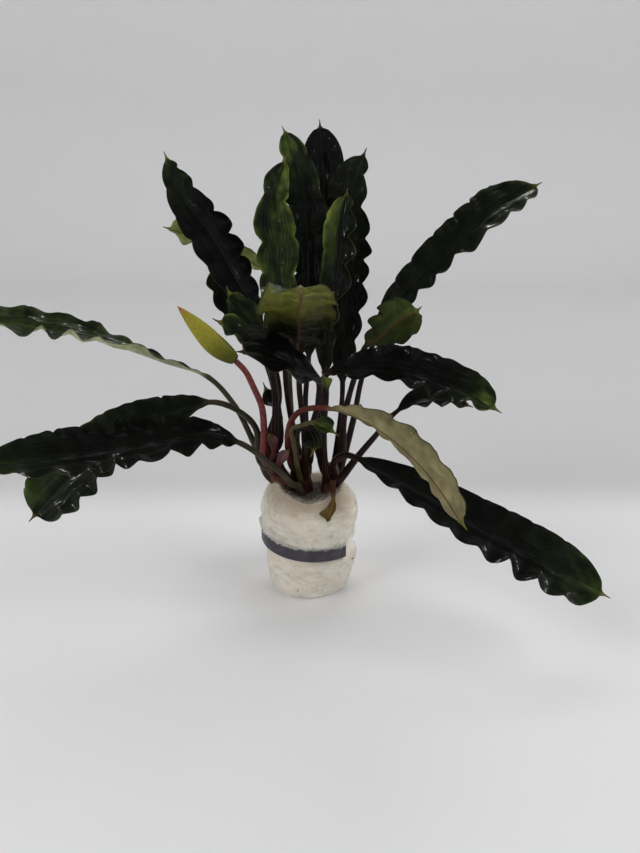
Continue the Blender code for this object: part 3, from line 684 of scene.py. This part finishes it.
def leaf_stations(stalk_length, blade_length, point_length):
    """Lengths along a leaf for its cross-sections: close together where the shape turns quickly."""
    stalk = np.arange(0, stalk_length - 1, 1.2)
    body = np.arange(stalk_length - 0.6, stalk_length + 0.93 * blade_length, 0.6)
    last = stalk_length + 0.93 * blade_length
    end = last + 0.07 * blade_length * np.sin(np.linspace(0, math.pi / 2, 9)[1:])
    point = end[-1] + point_length * np.linspace(0, 1, 6)[1:]
    return np.concatenate([stalk, body, [last], end, point])


class LeafShape:
    """The cross-sections of one leaf, each with its corners' places and looks."""

    def __init__(self, leaf, seed):
        self.leaf, self.look, self.habit, self.seed = leaf, leaf.look, leaf.habit, seed
        rhizome = RHIZOMES[leaf.rhizome]
        root = rhizome_side(rhizome, leaf.node, CLEARANCE + FOOT_SWELL * leaf.stalk_width / 2)
        points = [inside_rhizome(rhizome, leaf.node[0] - FOOT_DEPTH), root, *leaf.stalk, *leaf.blade]
        self.spine = Spine(points)
        self.stalk_length = Spine(points[: len(leaf.stalk) + 3]).length - self.habit.early
        self.blade_length = self.spine.length - self.stalk_length - leaf.point
        self.upper = [*ACROSS[::-1], *(-u for u in ACROSS[1:])]
        self.points, self.tint, self.place, self.kind = [], [], [], []

    def rough(self, x, y, z):
        """Noise that no other leaf has."""
        return rough(x, y, z, self.seed)

    def wave(self, y, right):
        """Where along its waves a margin is at y mm of the blade, radians, and how strong they are."""
        side = 1 if right else -1
        phase = 2 * math.pi * y / self.habit.length + 1.4 * side + 3.4 * self.rough(y / 17, side * 4.0, 0)
        strength = self.habit.right if right else self.habit.left
        return phase, strength * max(0.5, 0.95 + 1.0 * self.rough(y / 10, 2.0 * side, 5.0))

    def section(self, y, u, half, part):
        """Across and height of the blade's middle layer at u, mm, and how far it is turned there."""
        leaf, habit, right = self.leaf, self.habit, u >= 0
        side, share = 1 if right else -1, abs(u)
        phase, strength = self.wave(y, right)
        amount = leaf.ruffle * part * strength
        lobe = 2 * abs(math.sin(phase / 2)) ** 0.8 - 1.2
        nick = self.rough(y / 2.2, side * 7.0, 2.0)
        width = half + amount * (LOBE_REACH * lobe + NICK_REACH * nick) - 0.10 * amount**2

        turn = habit.roll[right] * part * (0.8 + 1.5 * self.rough(y / 8, side * 3.0, 4.0)) * math.pi / 2
        turn *= 1.3 - 0.9 * ease(y / self.blade_length, 0.4, 0.9)
        rolled = max(0.0, share - FLAT_SHARE) * width
        bend = turn / max((1 - FLAT_SHARE) * width, 0.2)
        x, z, angle = share * width, 0.0, 0.0
        if rolled > 0 and abs(bend) > 1e-3:
            angle = bend * rolled
            x = FLAT_SHARE * width + math.sin(angle) / bend
            z = (1 - math.cos(angle)) / bend

        z += leaf.fold * part * share**1.4 + habit.lift * amount * math.cos(phase) * share**2.2
        z += 0.22 * amount * self.rough(y / 1.5, side * 3.0, 9.0) * share**3
        inner = (1 - share**4) * part * min(1.0, leaf.width / 9)
        pillow = self.rough(u * half / 2.4, y / 4.0, 1.0) + 0.4 * self.rough(u * half / 1.1, y / 1.6, 6.0)
        apart = PLEAT_LENGTH + 0.5 * self.rough(y / 20, side, 3.0)
        pleat = math.cos(2 * math.pi * x / apart) * (1 - share**2)
        z += inner * (PILLOW_RISE * pillow * ease(x, 0.2, 1.5) + PLEAT_RISE * pleat * ease(x, 0.5, 1.3))
        return side * x, z, side * angle

    def sway(self, s, t, centre, side, up):
        """The middle line's own small bends and the turn of the tip."""
        free = self.habit.bend * ease(t, 0.0, 0.3)
        centre = centre + side * free * self.rough(s / 14, 1.0, 2.0)
        centre = centre + up * 0.7 * free * self.rough(s / 12, 5.0, 2.0)
        return centre + side * self.habit.hook * max(0.0, (t - 0.8) / 0.25) ** 2

    def ring(self, s):
        """Adds the cross-section at length s."""
        leaf = self.leaf
        t = (s - self.stalk_length) / self.blade_length
        share = min(max(t, 0.0), 1.0)
        centre, side, up = leaf_frame(leaf, self.spine, s, share)
        centre = self.sway(s, t, centre, side, up)
        part = blade_share(leaf, share)
        if share < leaf.broadest:
            part = part**self.habit.taper
        open_blade = ease(s - self.stalk_length, -0.6, 3.5)
        closing = ease(s - self.stalk_length - self.blade_length, -0.7, 0.1)
        radius = self.round_radius(s)
        flat = open_blade * (1 - closing)
        for lower, order in enumerate((self.upper, self.upper[::-1])):
            for u in order:
                shoulder = self.habit.shoulder[u >= 0] * ease(share, 0.55, 0.9)
                half = max(leaf.width / 2 * part * (1 + shoulder), leaf.stalk_width * 0.45)
                angle = math.acos(max(-1.0, min(1.0, u * 0.985)))
                rise = -math.sin(angle) if lower else math.sin(angle)
                circle = centre + radius * (math.cos(angle) * side + rise * up)
                blade = self.blade_point(centre, side, up, share, u, half, part, lower)
                self.points.append(circle * (1 - flat) + blade * flat)
                self.note(s, share, u, half, lower, 1 - flat if t < 0.5 else closing)

    def blade_point(self, centre, side, up, t, u, half, part, lower):
        """A point on the blade's upper or lower side."""
        x, z, angle = self.section(t * self.blade_length, u, half, part)
        rib = math.exp(-((x / RIB_WIDTH) ** 2))
        thick = MARGIN_THICKNESS + (MIDDLE_THICKNESS - MARGIN_THICKNESS) * (1 - abs(u) ** 3)
        rise = -thick / 2 - RIB_KEEL * rib * (1 - 0.6 * t) if lower else thick / 2 - RIB_GROOVE * rib
        return centre + side * (x - math.sin(angle) * rise) + up * (z + math.cos(angle) * rise)

    def round_radius(self, s):
        """The radius of the stalk, wider where it clasps the rhizome, or of the bristle at the tip."""
        leaf = self.leaf
        beyond = s - self.stalk_length - self.blade_length
        if beyond > -1.0:
            share = min(1.0, max(0.0, beyond / leaf.point))
            return POINT_RADIUS * (1.15 - 0.8 * share + 1.3 * math.exp(-max(beyond, 0.0) / 0.35))
        clasp = math.exp(-s / CLASP_LENGTH)
        wobble = 1 + 0.10 * self.rough(s / 3.0, 2.0, 6.0)
        return leaf.stalk_width / 2 * (wobble + 1.35 * clasp)

    def greenness(self, s, t, u):
        """How green the upper side is at a place."""
        look = self.look
        patch = self.rough(s / 5.0, u * 2.0, 8.0) + 0.6 * self.rough(s / 1.8, u * 4.0, 3.0)
        green = look.green * (1 + 0.6 * patch) + look.tip * ease(t, 0.68, 1.0) * (0.8 + 0.6 * patch)
        half = look.right if u > 0 else look.left
        green += half * ease(abs(u), 0.05, 0.35) * (0.1 + 0.9 * ease(t, 0.5, 0.75))
        return green + look.edge * ease(abs(u), 0.75, 1.0) * (0.6 + 0.9 * max(0.0, patch + 0.3))

    def note(self, s, t, u, half, lower, stalk):
        """Adds the looks of the corner that was just placed."""
        look = self.look
        green = self.greenness(s, t, u)
        if lower:
            patch = 1 + 0.45 * self.rough(s / 5.0, u * 2.0, 8.0)
            # Painted shade: look.foot darkens the lower side towards the stalk
            colour = np.array(look.under) * patch * (1 - look.foot * ease(t, 0.85, 0.25))
        elif self.leaf.slot in ("stipule", "dead_sheath"):
            colour = look.under
        else:
            colour = [np.interp(green, GREEN_STEPS, part) for part in zip(*GREENS)]
        if t < 0.5:
            stem = np.array(look.stalk) * (1.0 + 0.35 * self.rough(s / 4.0, 3.0, 1.0))
            stem = blend(stem, CROWN_RED, 0.7 * math.exp(-s / CROWN_LENGTH))
        else:
            stem = (0.09, 0.085, 0.02) if green > 0.25 else (0.05, 0.03, 0.02)
        self.tint.append(np.maximum(blend(colour, stem, stalk), 0.0))
        self.place.append((u * half, s, u))
        self.kind.append((lower * (1 - stalk), stalk, 0.12 if lower else look.veins))

    def build(self, material):
        """The whole leaf as one closed mesh."""
        stations = leaf_stations(self.stalk_length, self.blade_length, self.leaf.point)
        for s in stations:
            self.ring(s)
        faces = loft_faces(len(stations), 2 * len(self.upper))
        piece = add_piece("detailed_" + self.leaf.name, self.points, faces, material)
        paint(piece, tint=self.tint, place=self.place, kind=self.kind)
        return piece


# The stems

def round_stem(name, spine, radius_at, colour_at, material, stations=90, corners=24, squash=1.0):
    """A stem of changing radius; radius_at and colour_at take a share of its length and an angle."""
    points, tint = [], []
    for s in np.linspace(0, 1, stations):
        centre, along = spine.at(s * spine.length), spine.along(s * spine.length)
        side = unit(np.cross(along, (0, -1, 0)))
        other = np.cross(along, side) * squash
        for k in range(corners):
            angle = 2 * math.pi * k / corners
            r = radius_at(s, angle)
            points.append(centre + r * (math.cos(angle) * side + math.sin(angle) * other))
            tint.append(colour_at(s, angle))
    piece = add_piece(name, points, loft_faces(stations, corners), material)
    paint(piece, tint=tint)
    return piece


def make_rhizome(name, rhizome, seed, material):
    """A creeping stem with ring scars, mottled between dark and red-brown."""
    spine = Spine(rhizome.axis)
    span = rhizome.radii[1] - rhizome.radii[0]

    def radius_at(s, angle):
        base = rhizome.radii[0] + s * span
        scar = 0.10 * abs(math.sin(s * spine.length / 2.3 * math.pi)) ** 6
        close = math.sqrt(max(0.05, 1 - max(0.0, (s - 0.965) / 0.035) ** 2 * 0.9))
        wobble = 0.10 * rough(math.cos(angle), math.sin(angle), s * 9.0, seed)
        return (base + 0.45 + 0.65 * s + scar + 2.0 * wobble) * close

    def colour_at(s, angle):
        mottle = 0.5 + 0.5 * rough(math.cos(angle) * 1.5, math.sin(angle) * 1.5, s * 14.0, seed)
        return blend(BARK_DARK, BARK_RED, mottle)

    piece = round_stem("detailed_" + name, spine, radius_at, colour_at, material)
    place(piece, "rhizome", name)


def make_flower(stalk_material, spathe_material):
    """The red stalk and the closed spathe with its seam and reddish tip."""
    rhizome = RHIZOMES[SPATHE_RHIZOME]
    root = rhizome_side(rhizome, SPATHE_NODE, CLEARANCE + SPATHE_STALK_RADII[0])
    inner = inside_rhizome(rhizome, SPATHE_NODE[0] - FOOT_DEPTH)

    def stalk_radius(s, angle):
        foot, top = SPATHE_STALK_RADII
        return foot + s * (top - foot) - 0.03 * math.cos(3 * angle)

    def stalk_colour(s, angle):
        red = ease(s, 0.0, 0.35) * (0.85 + 0.15 * math.cos(angle))
        return blend(STALK_DARK, STALK_RED, red)

    stalk = round_stem("detailed_flower_stalk", Spine([inner, root, *SPATHE_STALK]), stalk_radius,
                       stalk_colour, stalk_material, 60, 18)
    place(stalk, "flower_stalk", "flower_stalk")

    def bud(s, angle):
        swell = max(0.03, abs(math.sin(math.pi * (0.06 + 0.94 * s) ** 0.7)) ** 0.8)
        seam = 0.10 * math.exp(-((((angle - 4.2 - 0.8 * s) % (2 * math.pi)) - 0.2) / 0.22) ** 2)
        return SPATHE_WIDTH / 2 * swell * (1 - seam)

    def bud_colour(s, angle):
        foot, middle, tip = SPATHE_COLOURS
        colour = blend(foot, middle, ease(s, 0.05, 0.6))
        green = 0.5 + 0.5 * rough(math.cos(angle), math.sin(angle), s * 3.0, 60)
        colour = colour * (1 - 0.25 * green * np.array((1.0, 0.4, 0.6)))
        return blend(colour, tip, ease(s, 0.80, 1.0)) * (1 - 0.8 * ease(s, 0.035, 0.0))

    spathe = round_stem("detailed_flower_spathe", Spine(SPATHE), bud, bud_colour,
                        spathe_material, 90, 36, 0.85)
    place(spathe, "flower_spathe", "flower_spathe")


# The roll of wool and its strip

def roll_radius(height, angle):
    """The roll's outer radius, wound inwards from the lap where the wool ends."""
    radius = np.interp(height, [p[0] for p in ROLL_PROFILE], [p[1] for p in ROLL_PROFILE])
    turn = (angle - ROLL_LAP_ANGLE) % (2 * math.pi) / (2 * math.pi)
    return radius + ROLL_LAP * (0.5 - turn + ease(turn, 0.90, 1.0))


def roll_rise(height, angle):
    """How much the wool's top rim stands higher where it climbs the stems, and lower in front."""
    near_top = max(0.0, (height - 22) / (ROLL_HEIGHT - 22))
    left, right, front = ROLL_RISE
    rise = left * max(0.0, -math.cos(angle)) ** 1.5 + right * max(0.0, math.cos(angle))
    return near_top**2 * (rise + front * max(0.0, -math.sin(angle)) ** 2)


def smooth_profile():
    """The roll's side from the foot to the rim, closely spaced."""
    line = smooth_line([(r, 0, z) for z, r in ROLL_PROFILE], 9)
    return [(max(0.0, p[2]), p[0]) for p in line]


def strip_middle(angle):
    """The height of the strip's middle."""
    return STRIP_HEIGHT - STRIP_RISE * math.cos(angle)


def wool_fuzz(angle, z):
    """The wool's lumps, mm outwards, and the loose end that bulges beside the strip's end."""
    x, y = around(12, angle)
    away = (angle - END_ANGLE + math.pi) % (2 * math.pi) - math.pi
    loose = math.exp(-((away / END_WIDTH) ** 2) - ((z - END_HEIGHT) / END_REACH) ** 2)
    lumps = 0.34 * rough(x / 6, y / 6, z / 6, 3) + 0.09 * rough(x / 1.9, y / 1.9, z / 1.9, 4)
    return lumps + 0.05 * rough(x / 0.8, y / 0.8, z / 0.8, 5) + END_BULGE * loose


def strip_lip(angle, z):
    """How far the wool stands out just over the strip's upper edge, mm."""
    if not STRIP_LAST < angle - 2 * math.pi * math.ceil((angle - STRIP_FIRST) / (2 * math.pi)) < STRIP_FIRST:
        return 0.0
    over = z - strip_middle(angle) - STRIP_WIDTH / 2
    ragged = 0.35 * rough(angle * 8, 0, 0, 55) + 0.25 * rough(angle * 26, 0, 0, 56)
    return (1.5 + ragged) * ease(over, -0.05, 0.4) * ease(over, 2.6, 0.6)


def wool_top(x, y):
    """The height of the wool's top at a place inside its rim, mm."""
    angle = math.atan2(y, x)
    edge = roll_radius(ROLL_HEIGHT, angle)
    share = min(1.0, math.hypot(x, y) / edge)
    rim = ROLL_HEIGHT + roll_rise(ROLL_HEIGHT, angle) * share**1.3
    crumple = 0.35 * rough(x / 2.2, y / 2.2, 0, 21) + 0.15 * rough(x / 0.9, y / 0.9, 0, 22)
    return rim - DIMPLE * (1 - share**2) + crumple * (1 - share**3) + 0.5 * ease(share, 0.75, 0.95)


def stain_at(x, y):
    """How brown the wool is near the stems, from 0 to 1."""
    ragged = 0.25 * rough(x / 1.2, y / 1.2, 0, 30)
    return ease(math.hypot(x / 9.5, y / 6.5) + ragged, 1.15, 0.8)


def make_wool(material):
    """The roll of wool: soft outside, drawn in under the strip and closed round the stems on top."""
    angles = np.linspace(0, 2 * math.pi, ROLL_CORNERS, endpoint=False) + ROLL_LAP_ANGLE
    points, tint = [], []
    profile = smooth_profile()
    for z, _ in profile:
        for a in angles:
            under_strip = math.exp(-(((z - strip_middle(a)) / 2.4) ** 2))
            lumps = wool_fuzz(a, z) * (1 - 0.7 * under_strip) * ease(z, 0.0, 1.5)
            out = roll_radius(z, a) + lumps - 0.25 * under_strip + strip_lip(a, z)
            points.append((*around(out, a), z + roll_rise(z, a)))
            tint.append(blend(WOOL, WOOL_STAINED, ease(z, 26.0, 31.5) * 0.6))
    for share in TOP_RINGS:
        for a in angles:
            x, y = around(share * (roll_radius(ROLL_HEIGHT, a) + wool_fuzz(a, ROLL_HEIGHT) * share), a)
            points.append((x, y, wool_top(x, y)))
            colour = blend(WOOL, WOOL_STAINED, 0.35 + 0.6 * stain_at(x, y))
            tint.append(blend(colour, ROOT_BROWN, 0.85 * stain_at(x * 1.1, y * 1.1) ** 1.5))
    faces = loft_faces(len(profile) + len(TOP_RINGS), ROLL_CORNERS)
    piece = add_piece("detailed_wool_roll", points, faces, material, 80)
    paint(piece, tint=tint)
    place(piece, "wool", "wool_roll")


class Fibres:
    """Many short strands in one mesh, each a closed three-sided tube."""

    def __init__(self):
        self.points, self.faces, self.tint = [], [], []

    def add(self, line, radius, colour):
        """One strand along a line of points."""
        start = len(self.points)
        line = [np.asarray(p, float) for p in line]
        for k, p in enumerate(line):
            along = unit(line[min(k + 1, len(line) - 1)] - line[max(k - 1, 0)])
            side = unit(np.cross(along, (0.31, 0.52, 0.79)))
            other = np.cross(along, side)
            thin = radius * (1.0 if k < len(line) - 1 else 0.4)
            for c in range(3):
                angle = 2 * math.pi * c / 3
                self.points.append(p + thin * (math.cos(angle) * side + math.sin(angle) * other))
                self.tint.append(colour)
        for k in range(len(line) - 1):
            a, b = start + 3 * k, start + 3 * k + 3
            self.faces += [(a + c, a + (c + 1) % 3, b + (c + 1) % 3, b + c) for c in range(3)]
        self.faces.append((start + 2, start + 1, start))
        last = start + 3 * (len(line) - 1)
        self.faces.append((last, last + 1, last + 2))

    def build(self, name, material):
        piece = add_piece(name, self.points, self.faces, material, 180)
        paint(piece, tint=self.tint)
        place(piece, "wool")


def skin_point(angle, z, out):
    """A point that far outside the wool."""
    r = roll_radius(z, angle) + wool_fuzz(angle, z) + out + strip_lip(angle, z)
    return np.array((*around(r, angle), z + roll_rise(z, angle)))


def side_fibres(fibres, rng):
    """Loose ends that stand a little off the roll's side."""
    for _ in range(SIDE_STRANDS):
        angle, z = rng.uniform(0, 2 * math.pi), rng.uniform(0.8, ROLL_HEIGHT - 0.6)
        if abs(z - strip_middle(angle)) < STRIP_WIDTH / 2 + 0.5:
            continue
        turn, climb = rng.gauss(0, 0.13), rng.gauss(0, 1.3)
        lift = rng.uniform(0.1, 0.6) ** 1.3
        line = []
        for k in range(4):
            share = k / 3
            height = min(max(z + climb * share, 0.15), ROLL_HEIGHT - 0.2)
            out = lift * math.sin(math.pi * (0.15 + 0.75 * share)) - 0.1
            line.append(skin_point(angle + turn * share + 0.03 * math.sin(5 * share), height, out))
        fibres.add(line, rng.uniform(0.02, 0.04), WOOL * rng.choice((0.88, 0.96, 1.04, 1.1)))


def strip_fibres(fibres, rng):
    """A thin ragged fringe of wool over the strip's upper edge, and a few ends below it."""
    for _ in range(FRINGE_STRANDS):
        angle = rng.uniform(STRIP_LAST, STRIP_FIRST)
        top = strip_middle(angle) + STRIP_WIDTH / 2
        clump = max(0.0, 0.5 + rough(angle * 9, 0, 0, 50) + 0.6 * rough(angle * 30, 0, 0, 51))
        reach = 0.05 + 0.8 * clump * rng.random()
        rest = roll_radius(top, angle) + STRIP_THICKNESS + 0.42
        end = (*around(rest, angle + rng.gauss(0, 0.02)), top - reach)
        line = [skin_point(angle, top + 0.9, 0.0), skin_point(angle, top + 0.3, 0.1), end]
        fibres.add(line, rng.uniform(0.04, 0.08), np.minimum(WOOL * rng.uniform(1.05, 1.15), 0.95))
    for _ in range(LOW_STRANDS):
        angle = rng.uniform(STRIP_LAST, STRIP_FIRST)
        low = strip_middle(angle) - STRIP_WIDTH / 2
        turn = rng.gauss(0, 0.05)
        line = [skin_point(angle, low - 0.9, 0.0), skin_point(angle + turn / 2, low - 0.3, 0.5),
                skin_point(angle + turn, low + 0.1, 0.95 + CLEARANCE)]
        fibres.add(line, rng.uniform(0.02, 0.035), WOOL * rng.uniform(0.9, 1.1))


def top_fibres(fibres, rng):
    """Tufts that stand up round the stems, white and brown."""
    for _ in range(TOP_STRANDS):
        angle = rng.uniform(0, 2 * math.pi)
        share = rng.uniform(0.15, 1.02) ** 0.6
        x, y = around(share * roll_radius(ROLL_HEIGHT, angle), angle)
        start = np.array((x, y, wool_top(x, y) - 0.15))
        lean = np.array((rng.gauss(0, 0.7), rng.gauss(0, 0.7), rng.uniform(0.1, 1.2)))
        bend = np.array((rng.gauss(0, 0.5), rng.gauss(0, 0.5), -0.25))
        brown = rng.random() < 0.15 + 0.5 * stain_at(x, y)
        colour = WOOL_STAINED * rng.uniform(0.15, 0.9) if brown else WOOL * rng.uniform(0.9, 1.15)
        fibres.add([start, start + lean * 0.6, start + lean + bend], rng.uniform(0.015, 0.03), colour)


def root_fibres(fibres, rng):
    """Dark root ends and dry fibres that lie over the wool's front where the stems come out."""
    for _ in range(ROOT_STRANDS):
        angle = rng.uniform(math.radians(190), math.radians(345))
        x, y = around(roll_radius(ROLL_HEIGHT, angle) * rng.uniform(0.5, 0.85), angle)
        line = [(x, y, wool_top(x, y) + 0.1)]
        for _ in range(4):
            x += 0.5 * math.cos(angle) + rng.gauss(0, 0.5)
            y += 0.5 * math.sin(angle) + rng.gauss(0, 0.5)
            line.append((x, y, wool_top(x, y) + rng.uniform(0.05, 0.35)))
        fibres.add(line, rng.uniform(0.03, 0.07), ROOT_LIGHT * rng.uniform(0.5, 2.0))


def specks(fibres):
    """Two dark grains that are caught in the wool."""
    for angle, z in SPECKS:
        start = skin_point(angle, z, -0.05)
        line = [start, start * (1.02, 1.02, 1.0), start * (1.03, 1.03, 1.01)]
        fibres.add(line, 0.22, SPECK_BLACK)


def make_fibres(material):
    """Every loose strand of the wool as one piece."""
    rng = random.Random(11)
    fibres = Fibres()
    for add in (side_fibres, strip_fibres, top_fibres, root_fibres):
        add(fibres, rng)
    specks(fibres)
    fibres.build("wool_fibres", material)


def make_strip(material):
    """The strip with softly rounded edges, slightly uneven where fingers bent it."""
    outline = []
    for x, z, start in ((1, 1, 0), (0, 1, 90), (0, 0, 180), (1, 0, 270)):
        for k in range(4):
            out, up = around(STRIP_CORNER, math.radians(start + 30 * k))
            outline.append((x * (STRIP_THICKNESS - 2 * STRIP_CORNER) + STRIP_CORNER + out,
                            (z - 0.5) * (STRIP_WIDTH - 2 * STRIP_CORNER) + up))
    points = []
    for k in range(STRIP_STATIONS + 1):
        angle = STRIP_FIRST + (STRIP_LAST - STRIP_FIRST) * k / STRIP_STATIONS
        middle = strip_middle(angle)
        low, high = middle - STRIP_WIDTH / 2, middle + STRIP_WIDTH / 2
        inner = max(roll_radius(z, angle) for z in np.linspace(low - 0.5, high + 0.5, 9)) + CLEARANCE
        end = ease(min(k, STRIP_STATIONS - k), 0, 3)
        wave = 0.07 * rough(angle * 4, 0.0, 0.0, 5)
        for out, up in outline:
            edge = 0.05 * rough(angle * 22, up, 0.0, 6)
            r = inner + out + wave + 0.05 * rough(angle * 9, up * 0.6, 1.0, 7)
            z = middle + (up + edge) * (0.94 + 0.06 * end) + 0.10 * rough(angle * 3, 1.0, 0.0, 9)
            points.append((*around(r, angle), z))
    faces = loft_faces(STRIP_STATIONS + 1, len(outline))
    piece = add_piece("detailed_metal_strip", points, faces, material, 50)
    place(piece, "strip_metal", "metal_strip")


# The stage

def floor_material(name):
    """A matt pale surface with a faint unevenness, and painted shade that darkens it behind the plant."""
    shade = Shader(name, Specular_IOR_Level=0.2)
    light, dark = ((*[FLOOR_WHITE * part] * 3, 1) for part in (1, 0.965))
    surface = shade.mix(shade.noise(60, 3.0), light, dark)
    back = shade.split(shade.node("ShaderNodeNewGeometry", {}).outputs["Position"])["Y"]
    # Painted shade: the floor darkens behind the plant, standing in for a shaded wall
    far = shade.ramp(back, FLOOR_END[0] * MM, FLOOR_END[1] * MM)
    shade.set("Base Color", shade.mix(far, surface, shade.scaled(surface, FAR_PAINTED_SHADE)))
    shade.set("Roughness", 0.85)
    return shade.material


def make_stage():
    """A large floor that curves up into a wall far behind."""
    start = FLOOR_REACH - FLOOR_BEND
    profile = [(-FLOOR_HALF, 0.0), (start, 0.0)]
    for a in np.linspace(0, math.pi / 2, 17)[1:]:
        profile.append((start + FLOOR_BEND * math.sin(a), FLOOR_BEND * (1 - math.cos(a))))
    profile.append((FLOOR_REACH, WALL_HEIGHT))
    points = [(x, y, z) for y, z in profile for x in (-FLOOR_HALF, FLOOR_HALF)]
    faces = [(2 * k, 2 * k + 1, 2 * k + 3, 2 * k + 2) for k in range(len(profile) - 1)]
    mesh = bpy.data.meshes.new("stage_floor")
    mesh.from_pydata([tuple(c * MM for c in p) for p in points], [], faces)
    mesh.materials.append(floor_material("stage_white"))
    mesh.shade_smooth()
    floor = bpy.data.objects.new("stage_floor", mesh)
    bpy.context.scene.collection.objects.link(floor)


def add_light(name, place_mm, size, energy, shine=False):
    """A square light that points at the plant: a soft one, or a small one for highlights alone."""
    light = bpy.data.lights.new(name, "AREA")
    light.shape = "SQUARE"
    light.size = size * MM
    light.energy = energy
    lamp = bpy.data.objects.new(name, light)
    lamp.visible_diffuse = not shine
    lamp.visible_glossy = shine
    lamp.location = Vector(place_mm) * MM
    lamp.rotation_euler = (Vector((0, 0, 60)) * MM - lamp.location).to_track_quat("-Z", "Y").to_euler()
    bpy.context.scene.collection.objects.link(lamp)


def make_lights():
    """Soft light from above, a little from the front left, and a pale surrounding."""
    world = bpy.data.worlds.new("surrounding")
    bpy.context.scene.world = world
    world.use_nodes = True
    sky = Nodes(world.node_tree)
    up = sky.split(sky.node("ShaderNodeTexCoord", {}).outputs["Generated"])["Z"]
    height = sky.node("ShaderNodeMapRange", {"Value": up, "From Min": 0.1, "From Max": 0.85}).outputs[0]
    sky.put(world.node_tree.nodes["Background"].inputs["Color"], sky.mix(height, HORIZON, ZENITH))
    add_light("light_left", (-1100, -500, 900), 1000, 10.0)
    add_light("light_right", (1100, -300, 900), 1000, 8.6)
    add_light("light_behind", (100, 800, 1100), 800, 4.5)
    add_light("shine_left", (-560, 60, 420), 60, 0.60, True)
    add_light("shine_right", (620, 40, 330), 60, 0.60, True)
    add_light("shine_above", (60, 400, 580), 60, 0.60, True)
    add_light("shine_front", (-120, -620, 330), 60, 0.12, True)


def make_camera():
    """The photograph's viewing angle."""
    camera = bpy.data.objects.new("camera", bpy.data.cameras.new("camera"))
    camera.location = Vector(CAMERA_PLACE) * MM
    camera.rotation_euler = (math.radians(CAMERA_PITCH), 0, 0)
    camera.data.sensor_width = SENSOR
    camera.data.lens = SENSOR * FOCAL_PIXELS / IMAGE_HEIGHT
    camera.data.clip_start = 0.005
    bpy.context.scene.collection.objects.link(camera)
    bpy.context.scene.camera = camera


def main():
    """Builds every piece, the stage, the lights and the camera."""
    leaf_skins = {
        "leaf_dark": leaf_material("wet_dark_leaf", 0.34, 0.10),
        "leaf_pale": leaf_material("wet_pale_leaf", 0.38, 0.08),
        "stipule": leaf_material("papery_stipule", 0.45, 0.03),
        "dead_sheath": leaf_material("dry_sheath", 0.55, 0.0),
    }
    for seed, leaf in enumerate(LEAVES):
        piece = LeafShape(leaf, seed + 1).build(leaf_skins[leaf.slot])
        place(piece, leaf.slot, leaf.name)
    stem = plant_material("rhizome_bark", 0.45, 0.08)
    for seed, (side, rhizome) in enumerate(RHIZOMES.items()):
        make_rhizome("rhizome_" + side, rhizome, seed + 40, stem)
    make_flower(plant_material("red_stalk", 0.34, 0.12, 0.05),
                plant_material("spathe_skin", 0.45, 0.03, 0.02, 0.25))
    wool = wool_material("filter_wool")
    make_wool(wool)
    make_fibres(wool)
    make_strip(strip_material("grey_soft_metal"))
    make_stage()
    make_lights()
    make_camera()
    bpy.context.scene.view_settings.view_transform = "Standard"


main()
